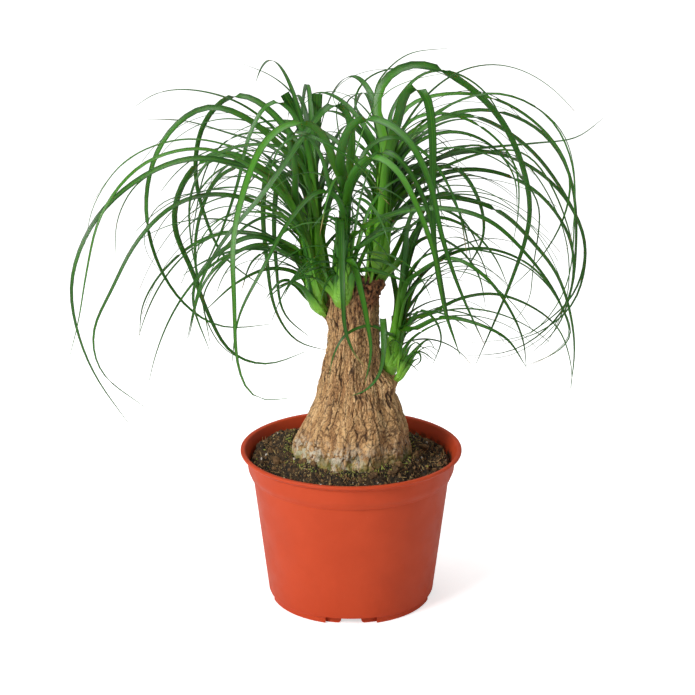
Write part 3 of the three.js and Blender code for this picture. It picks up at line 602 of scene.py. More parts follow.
def corky_bark():
    """Dry tan bark: dark cracks and pits, partly their own colour and partly painted shade, a
    painted highlight on its raised strands, a red-brown burl, a dark scar, lime and moss at its
    foot, and darker towards the soil.
    """
    material, place = new_material("corky_bark")
    kept_names = ("crack_shade", "strand", "crumb", "burl")
    crack_shade, strand, crumb, burl = (kept_value(material, name) for name in kept_names)
    grain = kept_value(material, "grain", "Vector")
    broad = patched(place, 38, 0.35, 0.66, BARK_MID, BARK_TAN)
    threads = grain * (1, 1, 0.12)
    base = mixed(0.4, broad, patched(threads, 620, 0.36, 0.64, BARK_MID, BARK_PALE_AND_HIGHLIGHT))
    # Painted highlight on the raised strands of the relief, and painted shade on the sunk strands
    # between them
    base = mixed(ranged(strand, 0.5, 0.66) * 0.75, base, BARK_PALE_AND_HIGHLIGHT)
    base = mixed(ranged(strand, 0.5, 0.36) * 0.55, base, BARK_DARK_AND_SHADE)
    # Hairline grooves, cut into the relief and darkened: partly darker lines in the cork, partly
    # painted shade
    hairline = furrows(grain, (1, 1, 0.22), 430, 0.035, 3)
    nick = furrows(grain, (0.35, 0.35, 1), 520, 0.03, 3) * ranged(crumb, 0.42, 0.6) * 0.7
    scored = reckoned("MAXIMUM", hairline, nick)
    base = mixed(scored * 0.62, base, BARK_DARK_AND_SHADE)
    red = patched(place, 30, 0.5, 0.7, base, BARK_RED)
    base = mixed(red["Mask"] * 0.3, base, red)
    base = mixed(burl * 0.85, base, patched(place, 330, 0.45, 0.65, BARK_RED, BURL_CREST))
    # The furrows, plate edges, wrinkles and burl holes darkened: partly the darker cork in them,
    # partly painted shade
    base = mixed(ranged(crack_shade, 0.1, 0.8) * 0.94, base, BARK_CRACK_AND_SHADE)
    # Painted shade: the sunk crumbs of the relief are darkened
    base = mixed(ranged(crumb, 0.42, 0.32) * 0.45, base, BARK_CRACK_AND_SHADE)
    parts = parts_of(place)
    low = ranged(parts["Z"], *LIME_ABOVE) * ranged(parts["Z"], *LIME_BELOW)
    crust = low * patched(place, 230, 0.46, 0.54)["Mask"] * ranged(parts, *LIME_SIDE, 0.35, 1)
    base = mixed(crust * ranged(strand, 0.4, 0.55, 0.3, 1) * 0.9, base, LIME_CRUST)
    moss = ranged(parts["Z"], *MOSS_ABOVE) * patched(place, 120, 0.43, 0.53)["Mask"] * 0.85
    base = mixed(moss, base, MOSS_STAIN)
    # The bark is darkened towards the soil, below this height
    base = mixed(ranged(parts["Z"], *DARKENING_ABOVE) * 0.8, base, BARK_CRACK_AND_SHADE)
    off_middle = length_of((place - TRUNK_MIDDLE) * (1, 1, 0))
    hollow = ranged(off_middle, *SCAR_WITHIN) * ranged(parts["Z"], *SCAR_ABOVE)
    relief = noise(place, 1500, 4) + noise(threads, 1100, 3) - scored
    roughness = ranged(crumb, 0.3, 0.7, 0.95, 0.72)
    dressed(material, mixed(hollow, base, SCAR_DARK), roughness, relief, 0.9, 0.5 * MM)
    return material


trunk = trunk_form()
grown(
    trunk,
    bark_tree(),
    grain_radius=32 * MM,
    furrow_depth=1.3 * MM,
    fine_furrow_depth=0.7 * MM,
    wrinkle_depth=0.6 * MM,
    strand_depth=1.6 * MM,
    crumb_depth=1.1 * MM,
    burl_height=6 * MM,
    burl_start=221 * MM,
    material=corky_bark(),
)
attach(trunk, "root")
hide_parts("trunk")


# The soil is peat mix that has dried into dark crumbs and fibrous clumps, heaped against the trunk
# and the back of the pot. Its bed fills the pot, and the loose crumbs, chips and fibres lie on it.
SOIL_SIDES = 420
SOIL_LEVEL = 101
SOIL_RING_STEP = 0.65
SOIL_INNER_RADIUS = 38
SOIL_OUTER_RADIUS = 74.8
SOIL_BODY = ((59.9, 7.9), (71, 95.3), (74.2, 99.3))  # radius and height, up the pot's wall
# The heaps: middle across and away, reach across and away, rise, in millimetres
SOIL_HEAPS = [(-56, 24, 18, 24, 12), (-68, -6, 12, 26, 4), (56, 24, 16, 24, 8)]
SOIL_COLLAR = (46, 10, 10.5)  # heaped against the trunk: radius, spread, rise
SOIL_LUMPS = 0.9
SOIL_WALL = (74.6 * MM, 71.5 * MM)  # the bed grows rough over this way from the wall
SOIL_SURFACE = (98 * MM, 100 * MM)  # and over this height
SOIL_BLACK = (0.009, 0.007, 0.004, 1)
SOIL_BROWN = (0.085, 0.05, 0.02, 1)
SOIL_RUST = (0.27, 0.15, 0.058, 1)
SOIL_STRAW = (0.5, 0.37, 0.15, 1)


def soil_top(x, y):
    """The height of the soil, in millimetres."""
    radius, spread, rise = SOIL_COLLAR
    height = SOIL_LEVEL + rise * np.exp(-(((np.hypot(x, y) - radius) / spread) ** 2))
    for across, away, reach_across, reach_away, heap in SOIL_HEAPS:
        part = ((x - across) / reach_across) ** 2 + ((y - away) / reach_away) ** 2
        height = height + heap * np.exp(-part)
    return height + SOIL_LUMPS * np.sin(0.21 * x + 0.6) * np.cos(0.17 * y)


def soil_form():
    """The bed of soil: a fine top on a plain body that fills the pot."""
    rings = [ring(radius, height, SOIL_SIDES) for radius, height in SOIL_BODY]
    for radius in np.arange(SOIL_OUTER_RADIUS, SOIL_INNER_RADIUS, -SOIL_RING_STEP):
        level = ring(radius, 0, SOIL_SIDES)
        level[:, 2] = soil_top(level[:, 0], level[:, 1])
        rings.append(level)
    return skinned("soil_bed", np.array(rings) * MM)


def soil_bed_tree():
    """Roughens the bed into clumps and crumbs, level where it meets the pot's wall."""
    given = new_tree("Crumbled bed", ["Clump Height", "Crumb Height"])
    place = place_in(given)
    crumb = noise(place, 420, 3)
    away_from_wall = ranged(length_of(place * (1, 1, 0)), *SOIL_WALL)
    on_top = away_from_wall * ranged(parts_of(place)["Z"], *SOIL_SURFACE)
    lift = (noise(place, 85, 3) - 0.45) * given["Clump Height"] + crumb * given["Crumb Height"]
    upward = put("ShaderNodeCombineXYZ", {"Z": lift * on_top})
    return ended(moved(stored(given, "crumb", crumb), upward), given)


def peat(name, low_tone, high_tone, rough):
    """Dark peat of two tones, with a tint of its own on every crumb."""
    material, place = new_material(name)
    tint = kept_value(material, "tint")
    tone = patched(place, 260, 0.35, 0.7, low_tone, high_tone)
    tone = mixed(ranged(tint, 0.55, 1), tone, high_tone)
    tone = mixed(ranged(tint, 0.93, 1), tone, SOIL_STRAW)
    grain = noise(place, 1300, 4)
    roughness = ranged(grain, 0.3, 0.7, rough - 0.08, rough + 0.06)
    dressed(material, tone, roughness, grain, 1, 0.6 * MM)
    return material


soil_bed = soil_form()
grown(
    soil_bed,
    soil_bed_tree(),
    clump_height=13 * MM,
    crumb_height=3 * MM,
    material=peat("damp_peat", SOIL_BLACK, SOIL_BROWN, 0.9),
)
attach(soil_bed, "root")
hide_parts("soil")


# Loose crumbs of the same mix lie over the bed in several sizes, with fibres, grains of perlite,
# yellow slow-release beads and moss by the trunk among them. Each one is a small broken lump.
SCATTER_REACH = (40, 73.6)  # from the axis, in millimetres
LARGE_LUMP_REACH = (40, 71.7)  # so that none comes through the pot's wall
MOSS_REACH = (41, 50.5)
LUMP_FACES_UP = 0.2  # lumps lie where the bed faces up at least this much
LUMP_SQUASH = ((0.7, 0.5, 0.4), (1.3, 1, 0.9))
FULL_TURN = (6.28, 6.28, 6.28)
MOSTLY_SMALL = 2.4  # a higher number makes more of the lumps small
BREAK_UP = 0.9  # share of its size by which a lump is pushed out of shape
PERLITE = (0.74, 0.7, 0.62, 1)
PERLITE_DULL = (0.45, 0.4, 0.32, 1)
BEAD_YELLOW = (0.42, 0.4, 0.07, 1)
BEAD_GREEN = (0.17, 0.24, 0.04, 1)


def random_number(given, shift):
    """A random number from 0 to 1 for each point."""
    inputs = {2: 0, 3: 1, "Seed": given["Seed"] + shift}
    return put("FunctionNodeRandomValue", inputs, data_type="FLOAT")[1]


def random_vector(given, low, high, shift):
    """A random vector between two for each point."""
    inputs = {0: low, 1: high, "Seed": given["Seed"] + shift}
    return put("FunctionNodeRandomValue", inputs, data_type="FLOAT_VECTOR")


def scatter_tree():
    """Scatters broken lumps over the top of a bed: random in size, turn, squash and tint."""
    sizes = ["Spacing", "Density", "Least Size", "Most Size", "Roundness", "Slimness", "Break Up"]
    given = new_tree("Scattered lumps", [*sizes, "Seed", "Inner", "Outer"])
    tree = given.socket.id_data
    place = place_in(given)
    radius = length_of(place * (1, 1, 0))
    upward = parts_of(put("GeometryNodeInputNormal", tree=tree))["Z"]
    beyond = reckoned("GREATER_THAN", radius, given["Inner"])
    within = reckoned("LESS_THAN", radius, given["Outer"])
    wanted = {
        "Mesh": given,
        "Selection": beyond * within * reckoned("GREATER_THAN", upward, LUMP_FACES_UP),
        "Distance Min": given["Spacing"],
        "Density Max": given["Density"],
        "Seed": given["Seed"],
    }
    points = put("GeometryNodeDistributePointsOnFaces", wanted, distribute_method="POISSON")
    spread = given["Most Size"] - given["Least Size"]
    share = reckoned("POWER", random_number(given, 1), MOSTLY_SMALL)
    size = share * spread + given["Least Size"]
    slim = put("ShaderNodeCombineXYZ", {"X": 1, "Y": given["Slimness"], "Z": given["Slimness"]})
    lump = put("GeometryNodeMeshIcoSphere", {"Radius": 1, "Subdivisions": 1}, tree=tree)
    either = {
        "Switch": reckoned("GREATER_THAN", given["Roundness"], 0.5),
        "False": lump,
        "True": put("GeometryNodeSubdivisionSurface", {"Mesh": lump, "Level": 1}),
    }
    copies = {
        "Points": stored(points, "tint", random_number(given, 0)),
        "Instance": put("GeometryNodeSwitch", either, input_type="GEOMETRY"),
        "Rotation": random_vector(given, (0, 0, 0), FULL_TURN, 0),
        "Scale": random_vector(given, *LUMP_SQUASH, 2) * slim * size,
    }
    copies = put("GeometryNodeInstanceOnPoints", copies)
    whole = put("GeometryNodeRealizeInstances", {0: copies})
    push = (noise(place, 700, 2)["Color"] - (0.5, 0.5, 0.5)) * given["Break Up"]
    return ended(moved(whole, push), given)


scatter = scatter_tree()


def scattered(
    name, material, spacing, density, sizes, seed, roundness=0, slimness=1, reach=SCATTER_REACH
):
    """A piece of lumps over the bed, in millimetres. Density is the most to a square metre."""
    piece = in_scene(name, soil_bed.data.copy())
    grown(
        piece,
        scatter,
        spacing=spacing * MM,
        density=float(density),
        least_size=sizes[0] * MM,
        most_size=sizes[1] * MM,
        roundness=float(roundness),
        slimness=float(slimness),
        break_up=sizes[1] * BREAK_UP * slimness * MM,
        seed=float(seed),
        inner=reach[0] * MM,
        outer=reach[1] * MM,
        material=material,
    )
    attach(piece, "root")


dark = peat("dark_crumbs", SOIL_BLACK, SOIL_BROWN, 0.88)
rusty = peat("rusty_crumbs", SOIL_BROWN, SOIL_RUST, 0.88)
perlite = peat("perlite", PERLITE_DULL, PERLITE, 0.8)
beads = peat("beads", BEAD_GREEN, BEAD_YELLOW, 0.6)
straw = peat("straw_fibres", SOIL_RUST, SOIL_STRAW, 0.8)
scattered("soil_clumps", rusty, 4.5, 26000, (1.2, 5), 17, roundness=1, reach=LARGE_LUMP_REACH)
scattered("soil_moss", beads, 1.2, 500000, (0.4, 2), 53, slimness=0.5, reach=MOSS_REACH)
scattered(
    "soil_fibres", straw, 1.7, 150000, (1, 4.2), 41, slimness=0.14, reach=LARGE_LUMP_REACH
)
scattered("soil_grit", dark, 0.9, 900000, (0.35, 1.1), 3)
scattered("soil_crumbs", rusty, 2.2, 130000, (0.6, 2.2), 11, roundness=1)
scattered("soil_perlite", perlite, 7, 9000, (0.4, 1.5), 23)
scattered("soil_beads", beads, 8, 9000, (0.4, 1.5), 31)


# Each of the five heads is a tuft of long leaves that grows from a young stem wrapped in its
# leaves' pale green feet. A leaf is a thin tough blade, hollow above, with fine veins along it.
# It rises out of its clasping foot, arches over under its own weight and hangs to a fine tip.
EYE = np.array([-2.7, -1248, 582])  # where the photograph was taken from, in millimetres

# The shoots, in millimetres. core: the stem's middle and radius, from inside the trunk up.
# leaves: those read from the photograph, each with its width, how far it reaches away from the
# eye, and its route as (across, up). blunt: which of these leaves were cut, counted from 0. thin:
# finer ones among them. more: leaves that grow by rule, in which directions and how long. fine: how
# many finer ones grow by the same rule. buried: the share of the stem that is inside the trunk's
# bark. slimness: how wide its feet and leaves are, against the solid ones.
SHOOTS = [
    {
        "head": "head_left",
        "core": [
            (-16, -4, 219.5, 4.5), (-22.5, -7, 228.5, 5.8), (-25.5, -8, 240, 6.3),
            (-29, -9, 264, 4.8), (-35, -10, 286, 3.2),
        ],
        "leaves": [
            (7, -100, (-60, 322), (-90, 333), (-115, 335), (-150, 321), (-184, 290), (-203, 245),
                (-200, 205), (-188, 171), (-166, 136)),
            (6, -60, (-62, 300), (-95, 309), (-125, 302), (-153, 276), (-174, 238), (-189, 205),
                (-184, 175), (-153, 148)),
            (5, -110, (-66, 325), (-105, 342), (-148, 331), (-179, 295), (-192, 250), (-199, 215),
                (-207, 187)),
            (6, 20, (-50, 274), (-85, 281), (-112, 273), (-138, 250), (-152, 226), (-155, 203)),
            (7, -30, (-46, 268), (-70, 278), (-95, 266), (-112, 246), (-115, 228), (-104, 192)),
            (6, -55, (-44, 263), (-66, 272), (-92, 260), (-108, 241), (-119, 202)),
            (5, 15, (-40, 260), (-56, 268), (-71, 260), (-80, 237)),
            (5, -10, (-36, 248), (-58, 254), (-82, 244), (-109, 220)),
            (6, -25, (-36, 240), (-50, 245), (-62, 232)),
            (5, 10, (-33, 239), (-44, 243), (-56, 239)),
            (9, 15, (-58, 322), (-85, 338), (-101, 337), (-121, 315), (-127, 285), (-115, 253),
                (-106, 225), (-88, 190), (-62, 181), (-34, 191)),
            (3, -40, (-60, 330), (-112, 349), (-158, 335), (-184, 302), (-192, 272)),
            (4, 30, (-62, 318), (-105, 334), (-150, 319), (-168, 290), (-170, 261)),
            (7, -75, (-40, 330), (-44, 354), (-22, 348), (4, 331), (23, 308)),
        ],
        "thin": [
            (2, -40, (-62, 312), (-112, 310), (-138, 301), (-149, 280), (-148, 266), (-137, 250)),
            (3, 30, (-46, 272), (-62, 272), (-83, 266), (-101, 247), (-108, 231), (-104, 211),
                (-93, 193), (-74, 182)),
            (2, -25, (-58, 318), (-81, 322), (-94, 321), (-103, 315), (-108, 308)),
            (3, -15, (-55, 293), (-77, 296), (-90, 293), (-105, 281), (-112, 262), (-109, 240)),
            (1, -70, (-62, 336), (-105, 348), (-118, 349), (-143, 343), (-169, 325), (-187, 300)),
            (3, -12, (-34, 250), (-44, 256), (-56, 258)),
        ],
        "fine": 5,
        "slimness": 1,
        "buried": 0.07,
        "more": {"count": 10, "from": 120, "to": 245, "length": (110, 250), "width": (4, 7)},
    },
    {
        "head": "head_left",
        "core": [
            (-12.5, 1, 217, 5), (-19.5, 6, 235, 6.2), (-23, 9, 266, 6), (-26, 10, 298, 5),
            (-28, 11, 325, 3.2),
        ],
        "leaves": [
            (4, 40, (-50, 352), (-80, 375), (-115, 384), (-138, 381), (-152, 372)),
            (8, 55, (-46, 356), (-68, 377), (-84, 380), (-104, 360), (-111, 325), (-104, 290),
                (-92, 263), (-62, 239)),
            (8, -20, (-55, 348), (-80, 367), (-103, 372), (-131, 351), (-146, 312), (-143, 268),
                (-124, 230), (-96, 210), (-60, 212)),
            (6, -35, (-34, 352), (-46, 373), (-56, 377), (-72, 352), (-80, 320), (-92, 285),
                (-110, 247), (-118, 232)),
            (6, 80, (-48, 318), (-72, 330), (-94, 322), (-108, 295), (-113, 262), (-108, 228),
                (-103, 195)),
            (7, 75, (-42, 330), (-56, 334), (-63, 302), (-61, 262), (-55, 222), (-40, 199),
                (-17, 192)),
            (7, 55, (-37, 322), (-49, 325), (-55, 295), (-54, 255), (-49, 220), (-30, 202)),
            (4, 60, (-52, 340), (-90, 354), (-118, 362), (-144, 363)),
            (3, 60, (-34, 360), (-40, 379), (-55, 393), (-76, 402)),
            (8, 20, (-26, 340), (-25, 362), (-24, 381)),
            (7, 30, (-32, 345), (-38, 364), (-47, 381)),
            (5, -60, (-40, 338), (-62, 345), (-96, 338), (-114, 312), (-115, 270), (-109, 238)),
        ],
        "thin": [
            (3, 20, (-54, 350), (-76, 353), (-94, 343), (-105, 323), (-111, 297), (-115, 271),
                (-109, 238)),
            (1, 40, (-28, 362), (-38, 378), (-50, 390), (-62, 397)),
            (1, 30, (-68, 353), (-99, 356), (-123, 362), (-141, 363)),
            (4, 30, (-22, 262), (-8, 282), (10, 290), (30, 284)),
            (4, 45, (-26, 285), (-14, 308), (2, 316), (20, 308)),
        ],
        "blunt": (9, 10),
        "fine": 20,
        "slimness": 1,
        "buried": 0.08,
        "more": {"count": 11, "from": 60, "to": 200, "length": (150, 300), "width": (5, 8)},
    },
    {
        "head": "head_front",
        "core": [
            (-7, -11, 227, 4.5), (-7, -17.5, 238, 5.4), (-6, -21, 256, 5.6), (-5, -24, 285, 4.2),
            (-4, -26, 306, 3),
        ],
        "leaves": [
            (8, -125, (-12, 330), (-24, 357), (-42, 361), (-62, 346), (-76, 314), (-85, 275),
                (-85, 230), (-83, 178), (-72, 154), (-46, 155)),
            (8, -55, (0, 345), (-2, 366), (-12, 376), (-34, 350), (-64, 308), (-92, 275),
                (-109, 244), (-120, 201)),
            (6, -90, (-5, 292), (-12, 309), (-24, 311), (-44, 290), (-64, 254), (-82, 218),
                (-88, 180)),
            (8, -30, (-9, 284), (-8, 293), (-7, 270), (-6, 235), (-4, 206), (5, 185), (13, 178)),
            (7, -32, (-4, 262), (1, 258), (7, 237), (12, 212), (14.5, 190), (10, 166)),
            (7, -22, (2, 250), (13, 253), (28, 249), (44, 242)),
            (9, -120, (-8, 335), (2, 361), (15, 364), (38, 351), (56, 318), (64, 282), (78, 240),
                (98, 196)),
            (8, -95, (2, 325), (15, 337), (32, 327), (48, 298), (60, 265), (68, 222), (80, 188)),
            (7, -50, (6, 325), (24, 341), (38, 330), (53, 303), (62, 262), (72, 212)),
            (7, -40, (8, 284), (36, 296), (72, 298), (100, 289), (128, 263), (150, 233),
                (161, 205)),
            (7, -35, (6, 270), (24, 281), (44, 286)),
            (7, -30, (-6, 280), (-11, 290), (-20, 293), (-29, 283)),
            (6, -45, (-14, 310), (-22, 338), (-34, 352), (-50, 344), (-60, 318)),
            (6, 20, (2, 320), (14, 345), (32, 350), (56, 335), (76, 300), (84, 262)),
        ],
        "thin": [
            (3, -25, (-12, 246), (-22, 256), (-32, 262), (-46, 264), (-59, 259), (-68, 262)),
            (4, -22, (-13, 243), (-29, 248), (-51, 240), (-62, 230)),
            (2, -20, (-9, 376), (3, 381), (25, 381)),
            (2, 15, (14, 368), (26, 383), (44, 391), (69, 396)),
            (4, 25, (6, 262), (20, 285), (40, 300), (62, 300), (85, 288)),
            (4, 40, (4, 275), (14, 300), (30, 318), (50, 322), (76, 308)),
            (3, 30, (2, 290), (8, 312), (16, 330), (34, 338)),
            (5, 10, (2, 262), (12, 277), (26, 284), (44, 282)),
        ],
        "fine": 34,
        "slimness": 1,
        "buried": 0.09,
        "more": {"count": 10, "from": 200, "to": 340, "length": (60, 120), "width": (4, 7)},
    },
    {
        "head": "head_back",
        "core": [
            (14, 7, 232, 6), (18.5, 12, 249, 7), (21, 15, 275, 6.8), (24, 17, 305, 6),
            (26, 18, 332, 4),
        ],
        "leaves": [
            (10, 35, (17, 375), (28, 396), (50, 402), (82, 386), (106, 362), (124, 322),
                (128, 290), (116, 245), (92, 182)),
            (10, -55, (33, 362), (41, 387), (51, 384), (57, 355), (58, 310), (60, 268), (67, 228),
                (80, 188)),
            (7, 50, (50, 305), (82, 305), (108, 295), (132, 272), (150, 248), (161, 215),
                (164, 190), (162, 162)),
            (5, 60, (38, 371), (68, 381), (105, 376), (140, 351), (156, 322), (152, 290),
                (134, 258), (112, 236)),
            (3, 20, (50, 361), (98, 382), (138, 366), (157, 332), (160, 290), (156, 240),
                (132, 205), (88, 198)),
            (5, 90, (48, 356), (92, 370), (132, 356), (155, 325), (162, 270), (156, 225),
                (120, 192), (84, 188)),
            (5, 20, (40, 361), (66, 367), (94, 356), (116, 331), (120, 300), (116, 270)),
            (6, 100, (52, 358), (82, 366), (124, 344), (154, 306), (169, 272), (162, 228),
                (138, 206), (112, 197)),
            (6, 10, (45, 345), (72, 354), (98, 345), (116, 322), (119, 295)),
            (6, 70, (50, 318), (88, 327), (128, 314), (156, 280), (161, 248), (150, 208),
                (132, 190)),
            (7, 40, (52, 325), (74, 328), (91, 305), (95, 278), (78, 245)),
            (5, 60, (50, 330), (75, 340), (100, 343), (132, 346), (160, 350), (178, 364)),
            (6, 80, (60, 334), (92, 340), (124, 331), (154, 305), (169, 268), (160, 232),
                (125, 200)),
            (3, 40, (17, 385), (38, 408), (69, 413)),
            (3, 70, (2, 375), (10, 391), (30, 399), (62, 396), (78, 386)),
            (5, 90, (30, 372), (50, 395), (72, 396), (96, 380), (112, 350)),
            (4, 60, (0, 360), (-4, 375), (8, 382), (24, 378)),
        ],
        "thin": [
            (2, 40, (60, 366), (82, 379), (102, 381), (128, 373), (150, 353), (159, 325),
                (160, 306), (158, 275), (151, 260)),
            (2, 70, (110, 340), (150, 290), (158, 240), (150, 212), (129, 194), (111, 186),
                (86, 187)),
            (3, 50, (90, 345), (130, 310), (135, 298), (131, 249), (130, 231), (112, 205)),
            (3, 80, (120, 340), (160, 270), (158, 232), (151, 214), (144, 197), (135, 190)),
            (1, 60, (-14, 378), (-9, 387), (0, 393), (17, 398), (46, 397), (58, 396)),
            (5, 25, (22, 268), (8, 285), (-8, 292), (-26, 284)),
            (4, 30, (26, 285), (14, 305), (0, 312), (-18, 302)),
            (6, 15, (44, 272), (52, 297), (64, 310), (84, 306)),
            (5, 20, (42, 290), (49, 318), (60, 331), (80, 328)),
            (5, -20, (36, 262), (42, 284), (54, 292), (70, 286)),
        ],
        "fine": 42,
        "slimness": 1,
        "buried": 0.04,
        "more": {"count": 19, "from": -20, "to": 150, "length": (150, 300), "width": (5, 8)},
    },
    {
        "head": "head_right",
        "core": [
            (24, 1, 166, 5), (28, 1.5, 178, 6), (32, 1, 200, 5.8), (36, 0, 228, 4.8),
            (39, 0, 256, 3.2),
        ],
        "leaves": [
            (7, -60, (48, 250), (72, 262), (96, 249), (114, 226), (126, 200), (129, 178)),
            (8, -70, (46, 208), (66, 217), (90, 213), (114, 201), (129, 179)),
            (5, 20, (56, 219), (78, 231), (104, 235), (132, 225), (152, 208), (162, 180),
                (163, 163)),
            (5, -35, (42, 212), (51, 223), (62, 214), (66, 200), (60, 181)),
            (5, 50, (48, 245), (72, 265), (98, 269), (130, 256), (152, 228), (161, 203),
                (150, 190), (130, 181)),
            (6, -45, (26, 205), (14, 211), (-4, 204), (-13, 188), (-16, 173)),
            (8, -45, (24, 205), (23, 217), (24, 192), (20, 172), (9, 160), (0, 157)),
            (5, -20, (44, 200), (60, 211), (74, 216)),
            (7, 15, (46, 282), (60, 292), (84, 284), (104, 262), (114, 240)),
            (6, 40, (44, 270), (56, 278), (76, 270), (92, 250), (98, 225)),
            (7, -15, (40, 280), (44, 296), (56, 300), (80, 290), (96, 262)),
        ],
        "thin": [
            (3, 10, (50, 262), (77, 269), (105, 265), (128, 255), (146, 237), (159, 211),
                (160, 202), (143, 186), (130, 180)),
            (2, -10, (60, 250), (84, 256), (100, 246), (110, 232)),
            (2, 20, (52, 240), (70, 258), (86, 262), (102, 252), (118, 236)),
        ],
        "fine": 10,
        "slimness": 0.85,
        "buried": 0.12,
        "more": {"count": 11, "from": -45, "to": 100, "length": (90, 190), "width": (4, 7)},
    },
    {
        "head": "head_small",
        "core": [
            (30, -8, 166, 3.4), (33.5, -10, 174, 4.6), (37, -12, 183, 4), (40, -13, 191, 2.4),
        ],
        "leaves": [
            (4, -12, (44, 196), (49, 198), (51, 193)),
            (4, -8, (45, 188), (51, 191), (63, 183)),
            (5, -20, (43, 188), (50, 190), (51, 184), (44, 178)),
            (4, 10, (46, 195), (56, 200), (62, 192)),
            (4, -10, (42, 178), (46, 184), (50, 186)),
            (4, -25, (36, 196), (30, 200), (26, 194)),
        ],
        "thin": [
            (2, -10, (48, 190), (58, 195), (68, 188)),
        ],
        "fine": 2,
        "slimness": 0.66,
        "buried": 0.27,
        "more": {"count": 4, "from": -110, "to": 20, "length": (18, 34), "width": (3, 4)},
    },
]
ROOTED = (0.3, 0.62)  # share of the way up the core where leaves root: the lowest, and over how far
DEPTH_REACHED = 0.8  # share of its length by which a leaf has come to its depth
SHEATH_ALONG = (18, 0.4)  # the sheath's most millimetres and most share of the way, along the core
SHEATH_OUTWARDS = (6, 0.15)  # and away from it
GROWN_STEPS = 24
GROWN_SHEATH = 8
GROWN_BEND = 0.8  # below 1, a leaf bends more near its root than near its tip
START_LEAN = (8, 30, 10)  # degrees from upright: least, more for a low leaf, and at random
END_LEAN = (115, 45)  # at the tip: least, and more at random
LOWEST_TIP = (175, 40)
SWAY = 0.5
TWIST = 1.4
REACH = 147
FACING = 0.5  # how far a leaf that was read turns its face to the eye
# The shifts in depth and turns in degrees that the leaves on the solid heads may have taken
READ_SHIFTS = (0, 5, -5, 10, -10, 16, -16, 22, -22, 29, -29, 37, -37, 46, -46)
GROWN_TURNS = (0, 4, -4, 8, -8, 13, -13, 19, -19, 26, -26, 34, -34, 43, -43)
FINE_LEAF_WIDTHS = (1.6, 6)
FINE_LEAF_REACH = (0.3, 0.68)
FINE_LEAF_ROOTED = (0.3, 0.66)
SHOOT_SEEDS = 1000  # each shoot's leaves have seeds of their own from this many
FINE_LEAF_SEED = 500
HEAD_SEED = 71
LEAST_PLACES = 4  # a route with fewer places is left out
CURVE_FINENESS = 40  # places measured on a curve for each of its points
STRAY_STEPS = 24  # a route is compared with the solid at this many places
STRAY_FROM = 8  # from this one on, clear of the sheath
STATIONS = 60  # places along a leaf where its width and curl are set
FOOT_STATIONS = 10  # and those of them on its clasping foot
LEAVING_STATIONS = 3  # and those where it leaves the stem
FOOT_PLACES = 4  # places up the stem that a foot follows
NARROWING = 0.68  # how fast a blade narrows towards its tip
TIP_WIDTH = 0.03  # share of its width at the tip
FOOT_SPREAD = 0.4  # how much further up the stem the highest leaf's foot starts
FOOT_SHARE = 0.16  # share of the stem that a foot climbs before the leaf leaves it
FOOT_SUNK = 0.85  # share of the stem's radius at which a foot clasps it
FREE_FROM = 16  # millimetres from its root where a leaf follows its own route
EASED_OVER = 9  # of the three places to a station
FOOT_BELLY = 9  # way in millimetres from the foot's pointed lower end to its widest place
FOOT_POINT = 0.25  # share of its width at that pointed end
FOOT_FADE = 32  # way in millimetres over which the foot narrows into the blade
FOOT_FADE_POWER = 1.5  # a higher number narrows it sooner
FOOT_AS_STEM = 0.25  # a foot is as wide as the stem is at this share of the way up
TURNED_BY = 10  # millimetres beyond the foot by which a leaf has turned to its own way
MAIN_WAY_AT = 0.6  # share of a route where its main way is read
LAYER_RISE = 2.2  # how far a foot stands off the stem by its upper end, in millimetres
FOOT_ROLL = 1.15  # how far the foot rolls round the stem, radians each way
STEM_ROLL = 2.9  # and how far the innermost leaf does, which is rolled up to a stem
STEM_SHARE = 0.62  # share of the stem's radius that it fills
STEM_TOP = 0.8  # share of the way up the core where it ends
STEM_NARROWS = 0.4  # share of the way over which it narrows to its end
STEM_END = 0.01  # and how bluntly it ends
STEM_AGE = 0.2  # how far from pale to green it gets, where a leaf's tip gets to 1
BLADE_ROLL = 0.62
TIP_ROLL = 0.25
BLADE_THICKNESS = 0.34
FOOT_THICKNESS = 0.9
TOWARDS_EYE = np.array([0.0, -1.0, 0.0])
LEAF_PALE = (0.26, 0.54, 0.06, 1)
LEAF_YOUNG = (0.18, 0.52, 0.03, 1)
LEAF_BRIGHT = (0.105, 0.38, 0.016, 1)
LEAF_GREEN = (0.03, 0.15, 0.008, 1)
# The deep green is the leaf's own dark tone, and it is also painted as shade along each blade's
# edges
LEAF_DEEP_AND_SHADE = (0.008, 0.055, 0.004, 1)
LEAF_UNDERSIDE = (0.045, 0.19, 0.024, 1)
LEAF_STRAW = (0.36, 0.27, 0.09, 1)
LEAF_BROWN = (0.16, 0.07, 0.025, 1)


def draws_from(seed):
    """Numbers between 0 and 1 that are the same on every run."""
    state = seed

    def draw():
        nonlocal state
        state = (state + 0x6D2B79F5) & 0xFFFFFFFF
        mix = ((state ^ (state >> 15)) * (state | 1)) & 0xFFFFFFFF
        mix = (mix + ((mix ^ (mix >> 7)) * (mix | 61)) & 0xFFFFFFFF) ^ mix
        return ((mix ^ (mix >> 14)) & 0xFFFFFFFF) / 4294967296

    return draw


